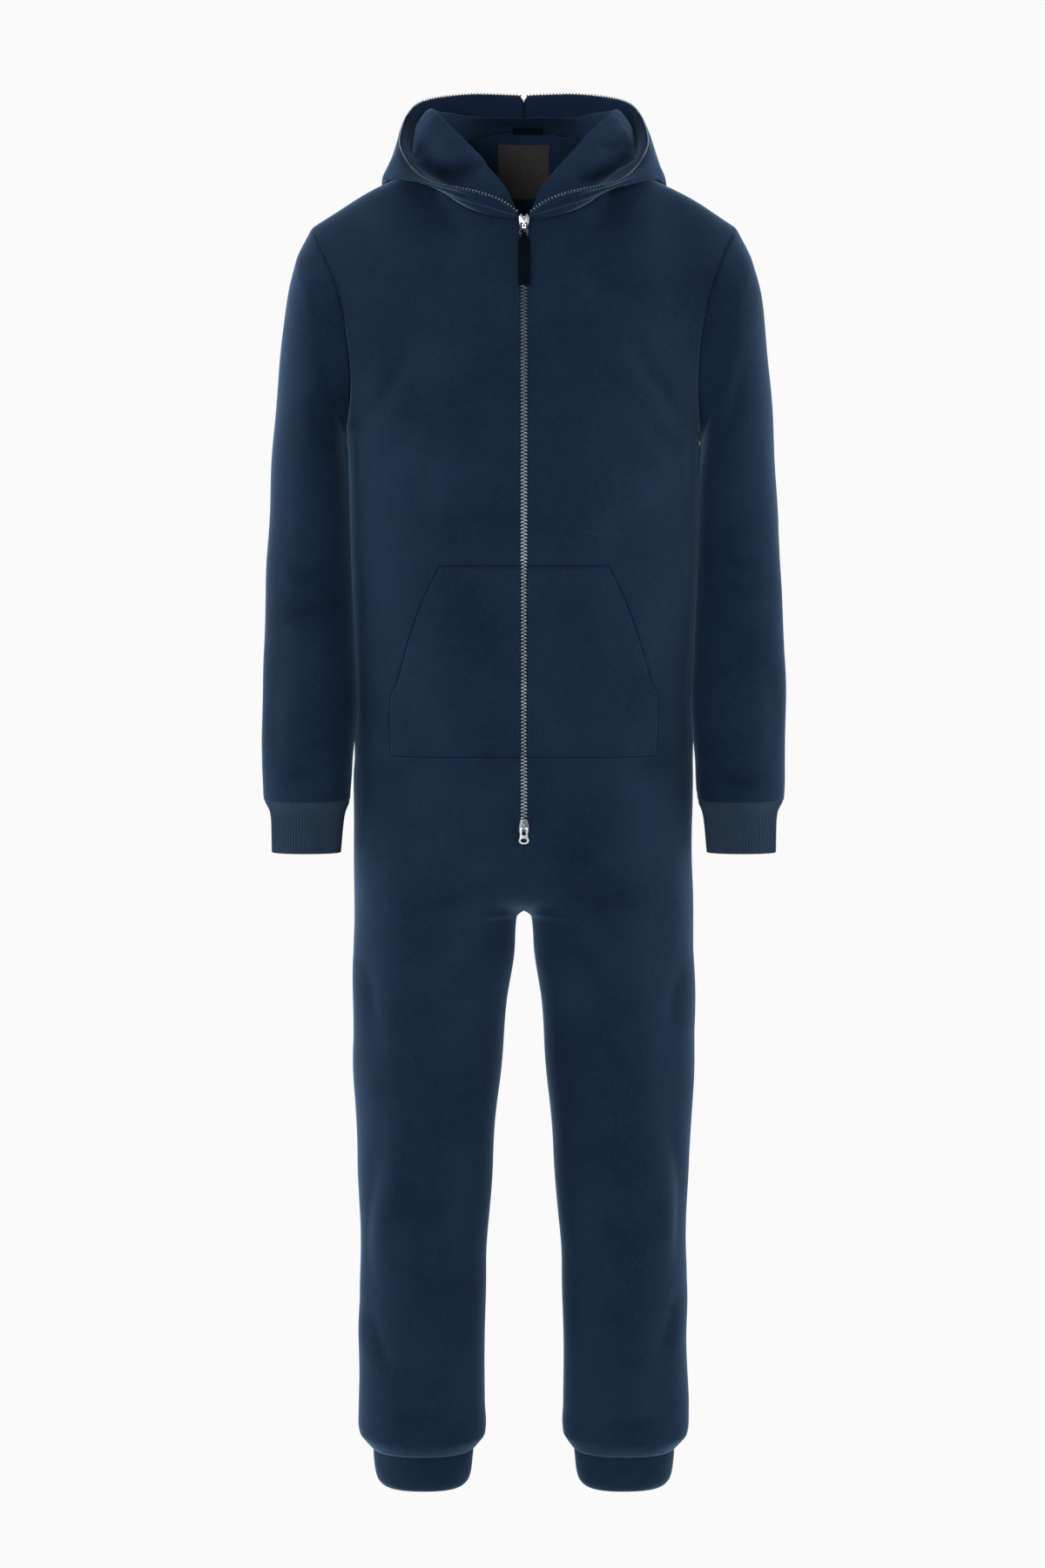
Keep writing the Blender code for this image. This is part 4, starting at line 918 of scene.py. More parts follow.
# --- Folds of the worn cloth -------------------------------------------------------------------
# Soft creases seen square on: depth, width, ridge beside it (+1 or -1 turns it to the other side),
# then points (x, height)
FRONT_FOLDS = (
    (2.6, 10, 1, (186, 652), (182, 618), (176, 575), (178, 548)),
    (3.4, 11, -1, (170, 455), (184, 398), (188, 350), (186, 300), (180, 262)),
    (2, 9, 1, (186, 258), (176, 222), (162, 168)),
    (2.4, 10, -1, (-186, 652), (-181, 610), (-178, 570), (-181, 540)),
    (3, 11, 1, (-168, 440), (-178, 392), (-186, 340), (-187, 290), (-180, 240)),
    (2.2, 9, -1, (-184, 232), (-172, 190), (-158, 150)),
    (1.8, 14, 1, (30, 745), (74, 722), (128, 716)),
    (1.6, 13, 1, (-26, 752), (-66, 726), (-112, 712), (-140, 716)),
    (1.5, 15, -1, (34, 690), (70, 655), (96, 600)),
    (1.4, 15, 1, (-30, 684), (-62, 640), (-84, 585)),
    (2, 12, 1, (196, 1262), (170, 1290), (142, 1330), (122, 1372)),
    (1.5, 12, 1, (192, 1225), (160, 1250), (128, 1284)),
    (1.9, 12, -1, (-196, 1258), (-172, 1284), (-148, 1322), (-130, 1356)),
    (1.3, 13, -1, (-190, 1212), (-156, 1232), (-120, 1262)),
    (1.3, 18, 1, (60, 1440), (100, 1418), (150, 1416)),
    (1.2, 18, 1, (-70, 1448), (-112, 1428), (-158, 1432)),
    (1.4, 16, 1, (176, 905), (150, 880), (122, 866)),
    (1.3, 16, -1, (-176, 880), (-146, 858), (-118, 850)),
    (1.6, 9, 1, (96, 96), (126, 88), (156, 94)),
    (1.5, 9, 1, (-90, 92), (-120, 98), (-152, 90)),
    (1.2, 16, -1, (82, 330), (112, 318), (140, 326)),
    (1.1, 15, 1, (-84, 362), (-110, 348), (-136, 352)),
    # sleeves
    (1.8, 10, 1, (216, 1236), (236, 1262), (248, 1306), (250, 1350)),
    (1.7, 11, -1, (-214, 1228), (-232, 1252), (-246, 1300)),
    (1.8, 10, 1, (222, 1122), (250, 1106), (278, 1112)),
    (1.4, 10, -1, (226, 1078), (252, 1070), (274, 1080)),
    (1.6, 10, 1, (-224, 1102), (-250, 1092), (-276, 1104)),
    (1.3, 11, 1, (-230, 1056), (-254, 1046), (-272, 1052)),
    (1.4, 11, 1, (282, 1000), (292, 930), (288, 872)),
    (1.5, 11, -1, (-282, 1012), (-291, 940), (-289, 880)),
    (1.7, 8, 1, (226, 862), (250, 852), (276, 860)),
    (1.6, 8, 1, (-230, 856), (-254, 864), (-280, 852)),
)
BACK_FOLDS = (
    (2, 22, 1, (96, 1400), (60, 1330), (66, 1250)),
    (1.8, 20, -1, (-104, 1390), (-72, 1320), (-80, 1232)),
    (2.2, 15, 1, (194, 1262), (164, 1300), (128, 1336)),
    (2, 15, -1, (-194, 1256), (-160, 1286), (-120, 1316)),
    (2.2, 18, 1, (40, 1052), (96, 1030), (160, 1044)),
    (1.8, 18, 1, (-52, 1030), (-100, 1012), (-158, 1022)),
    (2.4, 16, -1, (20, 742), (74, 716), (136, 708)),
    (2.3, 16, -1, (-18, 738), (-66, 708), (-126, 712)),
    (1.9, 18, 1, (30, 690), (80, 668), (150, 664)),
    (1.8, 18, 1, (-28, 682), (-86, 652), (-146, 658)),
    (2.6, 13, 1, (62, 372), (112, 352), (170, 366)),
    (2.2, 13, -1, (70, 326), (118, 312), (176, 318)),
    (2.4, 13, 1, (-60, 384), (-108, 366), (-168, 358)),
    (2.1, 13, -1, (-72, 338), (-116, 320), (-170, 322)),
    (1.8, 12, 1, (82, 130), (120, 116), (160, 128)),
    (1.7, 12, -1, (-84, 122), (-118, 132), (-160, 118)),
    (2, 11, 1, (220, 1148), (252, 1128), (282, 1142)),
    (1.8, 11, -1, (222, 1096), (252, 1084), (280, 1090)),
    (1.9, 11, 1, (-220, 1132), (-250, 1118), (-282, 1128)),
    (1.7, 11, -1, (-224, 1080), (-252, 1072), (-278, 1084)),
)

# Creases of the hood's lining and of its outside: depth, width, ridge above (+1), below (-1), none
# (0) or a fold hanging over the cloth below it, then places in space
OVERHANG = 2
LINING_FOLDS = (
    (6.5, 6.5, OVERHANG, (-124, -31, 1568), (-110, -34, 1566), (-92, -46, 1563), (-78, -54, 1560),
     (-60, -57, 1562), (-44, -60, 1560)),
    (5, 6, OVERHANG, (126, 0, 1605), (112, -14, 1595), (99, -28, 1590), (84, -38, 1588)),
    (5, 7.5, 1, (130, -16, 1577), (114, -32, 1567), (92, -48, 1553), (74, -60, 1545), (62, -68, 1541)),
    (2.4, 7, 0, (-104, 30, 1634), (-84, 52, 1638), (-60, 66, 1634)),
    (2.2, 7, 0, (106, 30, 1636), (80, 56, 1638), (56, 68, 1634)),
)
HOOD_FOLDS = (
    (2.6, 10, -1, (158, 70, 1552), (120, 140, 1500), (70, 158, 1470)),
    (2.4, 10, -1, (-160, 60, 1550), (-126, 134, 1506), (-80, 156, 1480)),
    (2, 8, 1, (120, -62, 1536), (146, -30, 1552), (158, 10, 1560)),
    (2, 8, 1, (-118, -64, 1534), (-146, -32, 1554), (-158, 6, 1562)),
    (2.4, 12, 1, (152, 60, 1590), (128, 120, 1604), (84, 152, 1590)),
    (2, 12, -1, (-150, 66, 1584), (-120, 128, 1588), (-76, 156, 1570)),
)
FOLD_DEPTH = 1.35
RIPPLE_WAVES = 10
RIPPLE_HEIGHT = 0.8
# Where the relief fades: over these distances from zip, neck and cuffs, and where sleeve and body touch
CALM_REACH = 26.0
CUFF_CALM_REACH = 22.0
YOKE_HEIGHT = 1440.0
SLEEVE_CUFF_SEAM = 829.0
LEG_CUFF_SEAM = 47.0
SLEEVE_INNER_X = 203.0
CONTACT_X = (188.0, 222.0)
HOOD_RIPPLE = 0.8  # the hood's share of the ripples


def along_path(points):
    """Smooth run of places through a fold's few points."""
    return spline(list(np.array(points, dtype=float)[:, None, :]), 14)[0]


def nearest_on(path, places):
    """Distance to a run of places, share of the way along it, and the side of it.

    In space the side is how far a place lies above and behind the run.
    """
    best = np.full(len(places), np.inf)
    share, side = np.zeros(len(places)), np.ones(len(places))
    lengths = np.linalg.norm(np.diff(path, axis=0), axis=1)
    before = np.concatenate([[0.0], np.cumsum(lengths)])
    for i, length in enumerate(lengths):
        way = (path[i + 1] - path[i]) / length
        from_start = places - path[i]
        run = np.clip(from_start @ way, 0.0, length)
        away = from_start - run[:, None] * way
        gap = np.linalg.norm(away, axis=1)
        near = gap < best
        best = np.where(near, gap, best)
        share = np.where(near, (before[i] + run) / before[-1], share)
        if path.shape[1] == 2:
            turn = np.sign(way[0] * from_start[:, 1] - way[1] * from_start[:, 0])
        else:
            turn = 0.85 * away[:, 1] + 0.5 * away[:, 2]
        side = np.where(near, turn, side)
    return best, share, side


def fold_profile(gap, width, depth, lean):
    """A trough with a lower ridge on one side."""
    return depth * (0.55 * hill(gap - lean * 1.8 * width, 1.3 * width) - hill(gap, width))


def hood_fold(gap, above, width, depth, lean):
    """Lift of a hood fold and how deep in shade it lies, by distance and the side of it."""
    hollow, ridge = hill(gap, width), 0.0
    if lean == OVERHANG:
        hollow = (0.5 - 0.5 * np.tanh(gap * above / (0.7 * width))) * hill(gap, 3.6 * width)
        ridge = 0.4 * hill(gap - 1.3 * width, 1.5 * width) * (0.5 + 0.5 * above)
    elif lean:
        ridge = 0.55 * hill(gap - 1.8 * width, 1.3 * width) * (0.5 + 0.5 * above * lean)
    return depth * (ridge - hollow), hollow


def ripples(places):
    """Slow unevenness of worn cloth."""
    draw = np.random.RandomState(11)
    lift = np.zeros(len(places))
    for _wave in range(RIPPLE_WAVES):
        length = draw.uniform(70.0, 240.0)
        way = unit(draw.normal(size=3) * (1.0, 0.6, 0.7))
        lift += np.sin(places @ way * 2.0 * np.pi / length + draw.uniform(0.0, 2.0 * np.pi))
    return RIPPLE_HEIGHT * lift / math.sqrt(RIPPLE_WAVES / 2.0)


def body_relief(points, normals):
    """Lift of the body's cloth along its normals, alike on both sides of every seam, and painted shade in the
    folds' troughs.
    """
    places, facing = points.reshape(-1, 3), normals.reshape(-1, 3)
    flat = places[:, [0, 2]]
    lift, crease_shade = ripples(places), np.zeros(len(places))
    folds = [(FRONT, *fold) for fold in FRONT_FOLDS] + [(BACK, *fold) for fold in BACK_FOLDS]
    for side, depth, width, lean, *path in folds:
        path = along_path(path)
        low, high = path.min(axis=0) - 4.0 * width, path.max(axis=0) + 4.0 * width
        near = np.all((flat > low) & (flat < high), axis=1) & (facing[:, 1] * side > -0.35)
        if not near.any():
            continue
        gap, share, turn = nearest_on(path, flat[near])
        fade = np.sin(np.pi * np.clip(share, 0.02, 0.98)) ** 0.8
        fade *= smooth((facing[near, 1] * side + 0.35) / 0.6)
        lift[near] += fold_profile(gap * turn, width, FOLD_DEPTH * depth, lean) * fade
        # Painted shade in the fold's trough
        crease_shade[near] += 0.15 * depth * hill(gap, 0.8 * width) * fade
    left = held_flat(places, facing)
    return (lift * left).reshape(points.shape[:2]), np.minimum(crease_shade * left, 0.5).reshape(points.shape[:2])


def held_flat(places, facing):
    """Share of the relief left near the zip, the neck and cuff seams, and between sleeve and body."""
    x, height = np.abs(places[:, 0]), places[:, 2]
    beside_zip = (facing[:, 1] < 0.2) & (height > ZIP_BOTTOM - 20.0)
    left = np.where(beside_zip, smooth((x - 5.0) / CALM_REACH), 1.0)
    path = neck_seam(np.linspace(0.0, 180.0, 25))
    top = height > YOKE_HEIGHT
    from_neck = nearest_on(path, np.abs(places[top]) * (1, 0, 1) + places[top] * (0, 1, 0))[0]
    left[top] *= smooth((from_neck - 1.0) / CALM_REACH)
    low_sleeve = (x > SLEEVE_INNER_X) & (height < 900.0)
    left *= np.where(low_sleeve, smooth((height - SLEEVE_CUFF_SEAM) / CUFF_CALM_REACH), 1.0)
    left *= smooth((height - LEG_CUFF_SEAM) / CUFF_CALM_REACH)
    contact = smooth((np.abs(facing[:, 0]) - 0.5) / 0.3) * ((x > CONTACT_X[0]) & (x < CONTACT_X[1]))
    contact *= smooth((height - 855.0) / 25.0) * smooth((1262.0 - height) / 30.0)
    return left * (1.0 - contact)


def hood_relief(points, folds):
    """Lift of the hood's cloth along its normals, and painted shade in its folds' hollows, both none at its
    sewn and zipped edges.
    """
    places = points.reshape(-1, 3)
    lift, crease_shade = HOOD_RIPPLE * ripples(places), np.zeros(len(places))
    for depth, width, lean, *path in folds:
        path = along_path(path)
        gap, share, rise = nearest_on(path, places)
        above = np.clip(rise / (0.5 * gap + 0.6), -1.0, 1.0)
        near = np.clip(np.sin(np.pi * share), 0.0, 1.0) ** 0.6 * smooth(6.0 - gap / width)
        fold, hollow = hood_fold(gap, above, width, depth, lean)
        lift += fold * near
        # Painted shade in the fold's hollow
        crease_shade = np.maximum(crease_shade, 0.14 * depth * hollow * near)
    held = smooth(edge_distance(points, ("first", "last", "top")) / 14.0)
    return lift.reshape(points.shape[:2]) * held, np.minimum(crease_shade, 0.9).reshape(points.shape[:2]) * held


# --- Finishes ----------------------------------------------------------------------------------
SHADE_AND_PRESSING_TONE = (0.22, 0.25, 0.3)  # what a finish is multiplied by where painted shade falls, and where the nap is laid flat at the seams


def new_group(name, scales, second):
    """Shader node group: a place and some scales in, a height and a second value out."""
    tree = bpy.data.node_groups.new(name, "ShaderNodeTree")
    tree.interface.new_socket("Place", in_out="INPUT", socket_type="NodeSocketVector")
    for label, value in scales.items():
        socket = tree.interface.new_socket(label, in_out="INPUT", socket_type="NodeSocketFloat")
        socket.default_value = value
    for label in ("Height", second):
        tree.interface.new_socket(label, in_out="OUTPUT", socket_type="NodeSocketFloat")
    return tree, tree.nodes.new("NodeGroupInput"), tree.nodes.new("NodeGroupOutput")


def node(tree, kind, links=None, **settings):
    """Node with its settings, and its inputs by name or number: a value, or a socket to link."""
    made = tree.nodes.new(kind)
    for key, value in settings.items():
        setattr(made, key, value)
    for key, value in (links or {}).items():
        if isinstance(value, bpy.types.NodeSocket):
            tree.links.new(value, made.inputs[key])
        else:
            made.inputs[key].default_value = value
    return made


def noise(tree, vector, scale, detail=2.0, rough=0.5):
    links = {"Vector": vector, "Scale": scale, "Detail": detail, "Roughness": rough}
    return node(tree, "ShaderNodeTexNoise", links).outputs["Fac"]


def maths(tree, operation, *values):
    """Socket of a Math node with the named operation on values or sockets."""
    return node(tree, "ShaderNodeMath", dict(enumerate(values)), operation=operation).outputs[0]


def sums(tree, *terms):
    """Sum of (socket, weight) pairs."""
    parts = [maths(tree, "MULTIPLY", *term) for term in terms]
    total = parts[0]
    for part in parts[1:]:
        total = maths(tree, "ADD", total, part)
    return total


def make_nap_group():
    """Brushed nap: fine fuzz, small clumps, and slow shading where it was stroked."""
    sizes = {"Fuzz": 900.0, "Clumps": 240.0, "Strokes": 9.0}
    tree, enter, leave = new_group("brushed_nap", sizes, "Shade")
    place = enter.outputs["Place"]
    fuzz = noise(tree, place, enter.outputs["Fuzz"], 3.0, 0.7)
    clumps = noise(tree, place, enter.outputs["Clumps"], 2.0, 0.6)
    strokes = noise(tree, place, enter.outputs["Strokes"], 3.0, 0.55)
    tree.links.new(sums(tree, (fuzz, 0.55), (clumps, 0.45)), leave.inputs["Height"])
    tree.links.new(sums(tree, (fuzz, 0.25), (clumps, 0.3), (strokes, 0.45)), leave.inputs["Shade"])
    return tree


def make_weave_group():
    """Plain weave seen square on: crossing threads a pitch apart."""
    tree, enter, leave = new_group("plain_weave", {"Threads": 1200.0, "Slub": 300.0}, "Shade")
    apart = node(tree, "ShaderNodeSeparateXYZ", {0: enter.outputs["Place"]})
    waves = []
    for axis in ("X", "Z"):
        run = maths(tree, "MULTIPLY", apart.outputs[axis], enter.outputs["Threads"])
        waves.append(maths(tree, "SINE", maths(tree, "MULTIPLY", run, 2.0 * math.pi)))
    cross = maths(tree, "MULTIPLY", *waves)
    slub = noise(tree, enter.outputs["Place"], enter.outputs["Slub"], 2.0)
    tree.links.new(sums(tree, (cross, 0.4), (slub, 0.5)), leave.inputs["Height"])
    tree.links.new(sums(tree, (cross, 0.25), (slub, 1.0)), leave.inputs["Shade"])
    return tree


def make_wear_group():
    """Handled metal: fine scratches and cloudy dulling."""
    tree, enter, leave = new_group("handled_metal", {"Scratches": 700.0, "Clouds": 120.0}, "Dulling")
    stretch = node(tree, "ShaderNodeMapping", {"Vector": enter.outputs["Place"], "Scale": (1.0, 1.0, 0.15)})
    scratches = noise(tree, stretch.outputs[0], enter.outputs["Scratches"], 3.0, 0.7)
    clouds = noise(tree, enter.outputs["Place"], enter.outputs["Clouds"], 2.0)
    tree.links.new(sums(tree, (scratches, 1.0)), leave.inputs["Height"])
    tree.links.new(sums(tree, (scratches, 0.5), (clouds, 0.5)), leave.inputs["Dulling"])
    return tree


def surface(name, group, settings, dark, light, rough, bump, constants):
    """Material from a finish group: two tones, darkened by the marked painted shade and laid-flat nap, a
    roughness range and a relief.
    """
    material = bpy.data.materials.new(name)
    material.use_nodes = True
    tree = material.node_tree
    shader = tree.nodes["Principled BSDF"]
    place = node(tree, "ShaderNodeTexCoord").outputs["Object"]
    finish = tree.nodes.new("ShaderNodeGroup")
    finish.node_tree = group
    tree.links.new(place, finish.inputs["Place"])
    for key, value in settings.items():
        finish.inputs[key].default_value = value
    shade = finish.outputs[1]
    spread = node(tree, "ShaderNodeMapRange", {0: shade, 1: 0.35, 2: 0.65}).outputs[0]
    tones = mixed(tree, spread, (*dark, 1.0), (*light, 1.0))
    # Painted shade: the marked share darkens the tones in creases, hollows, along seams and on the chain
    flattened = node(tree, "ShaderNodeAttribute", attribute_name="shade_and_pressing").outputs["Fac"]
    darker = mixed(tree, flattened, tones, (*SHADE_AND_PRESSING_TONE, 1.0), blend_type="MULTIPLY")
    dull = node(tree, "ShaderNodeMapRange", {0: shade, 1: 0.3, 2: 0.7, 3: rough[0], 4: rough[1]}).outputs[0]
    relief = {"Strength": bump[0], "Distance": bump[1], "Height": finish.outputs[0]}
    raised = node(tree, "ShaderNodeBump", relief).outputs[0]
    for key, socket in (("Base Color", darker), ("Roughness", dull), ("Normal", raised)):
        tree.links.new(socket, shader.inputs[key])
    for key, value in constants.items():
        shader.inputs[key].default_value = value
    return material


def mixed(tree, factor, first, second, **settings):
    """Colour mix of two colours or sockets."""
    links = {0: factor, 6: first, 7: second}
    return node(tree, "ShaderNodeMix", links, data_type="RGBA", **settings).outputs[2]


# --- Repeats along lines: teeth and stitches ---------------------------------------------------
def make_repeat_tree():
    """Copies of one small shape, a pitch apart along lines, turned to face the lines' 'out'."""
    tree = bpy.data.node_groups.new("repeat_along_lines", "GeometryNodeTree")
    kinds = {"Lines": "Geometry", "Pitch": "Float", "Shape": "Object", "Size": "Vector"}
    kinds.update({"Uneven": "Float", "Seed": "Int", "Finish": "Material"})
    for label, kind in kinds.items():
        tree.interface.new_socket(label, in_out="INPUT", socket_type="NodeSocket" + kind)
    tree.interface.new_socket("Pieces", in_out="OUTPUT", socket_type="NodeSocketGeometry")
    enter, leave = tree.nodes.new("NodeGroupInput").outputs, tree.nodes.new("NodeGroupOutput")
    line = node(tree, "GeometryNodeMeshToCurve", {"Mesh": enter["Lines"]})
    steps = {"Curve": line.outputs[0], "Length": enter["Pitch"]}
    spaced = node(tree, "GeometryNodeResampleCurve", steps, mode="LENGTH")
    out = node(tree, "GeometryNodeInputNamedAttribute", {"Name": "out"}, data_type="FLOAT_VECTOR")
    along = node(tree, "GeometryNodeInputTangent")
    turn = node(tree, "FunctionNodeAxesToRotation", {0: along.outputs[0], 1: out.outputs[0]})
    turn.primary_axis, turn.secondary_axis = "Z", "Y"
    ends = {"Min": "SUBTRACT", "Max": "ADD"}
    draw = node(tree, "FunctionNodeRandomValue", data_type="FLOAT")
    for socket in draw.inputs:
        if socket.name == "Seed":
            tree.links.new(enter["Seed"], socket)
        elif socket.name in ends and socket.type == "VALUE" and socket.enabled:
            tree.links.new(maths(tree, ends[socket.name], 1.0, enter["Uneven"]), socket)
    value = next(socket for socket in draw.outputs if socket.enabled)
    size = node(tree, "ShaderNodeVectorMath", {0: enter["Size"], 1: value}, operation="MULTIPLY")
    shape = node(tree, "GeometryNodeObjectInfo", {"Object": enter["Shape"]})
    links = {"Points": spaced.outputs[0], "Instance": shape.outputs["Geometry"]}
    links.update({"Rotation": turn.outputs[0], "Scale": size.outputs[0]})
    copies = node(tree, "GeometryNodeInstanceOnPoints", links)
    solid = node(tree, "GeometryNodeRealizeInstances", {0: copies.outputs[0]})
    links = {"Geometry": solid.outputs[0], "Material": enter["Finish"]}
    finished = node(tree, "GeometryNodeSetMaterial", links)
    tree.links.new(finished.outputs[0], leave.inputs[0])
    return tree


def repeat(name, lines, shape, pitch, material, size=(1.0, 1.0, 1.0), uneven=0.0, seed=1):
    """Plain mesh of the shape repeated along lines of (points, outward directions)."""
    points, ways, edges = [], [], []
    for line, out in lines:
        first = len(points)
        points += list(line)
        ways += list(out)
        edges += [(first + i, first + i + 1) for i in range(len(line) - 1)]
    points = (np.array(points) - (0.0, 0.0, ORIGIN_HEIGHT)) * 0.001
    mesh = bpy.data.meshes.new(name + "_lines")
    mesh.from_pydata(points.tolist(), edges, [])
    out = mesh.attributes.new("out", "FLOAT_VECTOR", "POINT")
    out.data.foreach_set("vector", np.array(ways, dtype=np.float32).ravel())
    carrier = linked(name + "_lines", mesh)
    modifier = carrier.modifiers.new("repeat", "NODES")
    modifier.node_group = repeats
    values = {"Pitch": pitch * 0.001, "Shape": shape, "Size": size, "Uneven": uneven, "Seed": seed}
    values["Finish"] = material
    for item in repeats.interface.items_tree:
        if item.in_out == "INPUT" and item.name in values:
            modifier[item.identifier] = values[item.name]
    graph = bpy.context.evaluated_depsgraph_get()
    result = bpy.data.meshes.new_from_object(carrier.evaluated_get(graph))
    result.name = name
    bpy.data.objects.remove(carrier, do_unlink=True)
    if not result.materials:
        result.materials.append(material)
    return linked(name, result)


def loose_shape(name, loops):
    """Small solid at the origin from loops in millimetres, to be repeated and then removed."""
    loops = np.array(loops)
    return facing_out(smooth_mesh(name, loops.reshape(-1, 3) * 0.001, loop_faces(*loops.shape[:2])))


def layered(outline, layers):
    """Loops of one outline (x, z) drawn in by each layer's amount at its depth."""
    outline = np.array(outline, dtype=float)
    centre = outline.mean(axis=0)
    loops = []
    for depth, draw_in in layers:
        drawn = centre + (outline - centre) * (1.0 - draw_in)
        loops.append(stack(drawn[:, 0], depth, drawn[:, 1]))
    return np.array(loops)


def tooth_shape(name, lean):
    """Zip tooth along x from its low feet by a round bulb to a narrow head.

    Its sections are place, half width, front, back and share of the lean.
    """
    sections = (
        (0.0, 0.75, 0.35, -1.2, -1.0),
        (0.9, 0.95, 0.75, -1.2, -0.6),
        (1.6, 1.08, 1.3, -1.2, -0.15),
        (2.4, 1.08, 1.45, -1.2, 0.3),
        (3.2, 0.85, 1.2, -1.2, 0.65),
        (4.0, 0.6, 0.8, -1.0, 0.85),
        (4.4, 0.25, 0.3, -0.6, 0.9),
    )
    turns = circle(8, 0.5)
    loops = []
    for x, half, front, back, shift in sections:
        deep = np.where(np.sin(turns) > 0, front, back) * np.abs(np.sin(turns)) / math.sin(3 * math.pi / 8)
        loops.append(stack(x, deep, shift * lean + half * np.cos(turns)))
    return loose_shape(name, loops)


def stitch_shape():
    """One stitch along z: a short round thread, its ends dipping into the cloth."""
    turns = circle(6)
    half = ((0.7, 0.85, -0.2), (1.0, 0.35, -0.9))  # place along it, thickness, sink
    sections = [(-z, r, sink) for z, r, sink in half[::-1]] + [(0.0, 1.0, 0.15), *half]
    loops = [stack(r * np.cos(turns), sink + r * np.sin(turns), z) for z, r, sink in sections]
    return loose_shape("stitch", loops)


def stitch_lines(side):
    """Topstitching of one side: beside the zip, under the neck seam, round the pocket and hood."""
    front, pocket = "front_cloth_" + side, "pocket_cloth_" + side
    zip_side, ways = beside_edge(front, "first", ZIP_STITCH)
    keep = (zip_side[:, 2] > ZIP_BOTTOM - 6.0) & (zip_side[:, 2] < NECK_MEAN_HEIGHT - NECK_RISE - 6.0)
    lines = {"zip": [(zip_side[keep], ways[keep])]}
    neck, ways = beside_edge(front, "top", NECK_STITCH)
    keep = (np.abs(neck[:, 0]) < NECK_HALF_WIDTH - 8.0) & (np.abs(neck[:, 0]) > 8.0)
    lines["neck"] = [(neck[keep], ways[keep])]
    lines["pocket"] = [trimmed(pocket, edge, POCKET_STITCH, 8, -8) for edge in ("top", "last", "bottom")]
    lines["hood"] = [trimmed("hood_cloth_" + side, "last", HOOD_STITCH, 3, -1)]
    cuff = beside_edge("sleeve_cloth_" + side, "bottom", CUFF_STITCH)
    lines["sleeve"] = [[np.concatenate([part, part[:1]]) for part in cuff]]
    return lines


def trimmed(name, edge, distance, first, last):
    """Line beside an edge without its ends."""
    return [part[first:last] for part in beside_edge(name, edge, distance)]


def zip_line(step):
    """Points of the zip's face from its end up to the top slider, with the directions out of it."""
    middle = np.array([0.0])
    points = [yoke_row(FRONT, turn, middle)[0] for turn in np.linspace(0.0, math.pi, 60)]
    points += [lower_row(FRONT, h, middle)[0] for h in np.arange(1250.0, ZIP_BOTTOM - 1.0, -step)]
    points = np.array(points)[::-1]
    heights = np.arange(ZIP_BOTTOM, ZIP_TOP + 14.0, step)
    line = stack(0.0, np.interp(heights, points[:, 2], points[:, 1]), heights)
    up = unit(np.gradient(line, axis=0))
    return line, stack(0.0, -up[:, 2], up[:, 1])


def front_teeth_lines():
    """Rails of the closed chain: the wearer's left half runs up, the right half runs down."""
    line, out = zip_line(2.0)
    keep = (line[:, 2] < ZIP_TOP + 6.0) & (line[:, 2] > LAST_TOOTH)
    line, out = line[keep], out[keep]
    face = line + out * (CHAIN_PROUD - TOOTH_DEPTH)
    root = np.array([TOOTH_ROOT, 0.0, 0.0])
    start = unit(np.diff(face[:2], axis=0))[0] * TOOTH_PITCH / 2
    return (face + root, out), ((face - root)[::-1] + start, out[::-1])


def paint_chain_shade(teeth):
    """Painted shade on the chain: darker above the belly and a little below it, standing in for the lamps'
    reflections that it catches most over the belly.
    """
    places = np.zeros(len(teeth.data.vertices) * 3)
    teeth.data.vertices.foreach_get("co", places)
    height = places[2::3] * 1000.0 + ORIGIN_HEIGHT
    chest_shade = smooth((height - UNSHADED_CHAIN_TOP) / 370.0)
    mark_shade_and_pressing(teeth, chest_shade + 0.35 * smooth((UNSHADED_CHAIN_BOTTOM - height) / 90.0))


def hood_teeth_line(mirrored):
    """Rail of the open half chain on the hood's edge, heads up out of the cloth."""
    edge, _, up, out = hood_frame(np.linspace(1.5, 179.6, 200))
    rail, out = sided(edge - up * HOOD_TOOTH_RISE, mirrored), sided(out, mirrored)
    return [(rail[::-1], out[::-1]) if mirrored else (rail, out)]


def make_front_tape(material):
    """Zip tape behind the fronts, seen in the slot beside the teeth."""
    line, out = [part[::-1, None] for part in zip_line(8.0)]
    reach, deep = np.array(FRONT_TAPE).T
    across, depth = np.concatenate([-reach[:0:-1], reach]), np.concatenate([deep[:0:-1], deep])
    face = line - out * depth[:, None] + stack(across, 0.0, 0.0)
    return closed_wall("front_zip_tape", face, face - out * TAPE_WALL, False, 1.0, material)


def make_hood_tape(name, mirrored, material):
    """Zip tape held between the hood's outside and its lining."""
    edge, _, up, out = hood_frame(np.linspace(0.0, 180.0, 91))
    loops = sided(np.stack([edge - up * rise + out * side for rise, side in HOOD_TAPE], axis=1), mirrored)
    return facing_out(add_mesh(name, loops.reshape(-1, 3), loop_faces(*loops.shape[:2]), material))


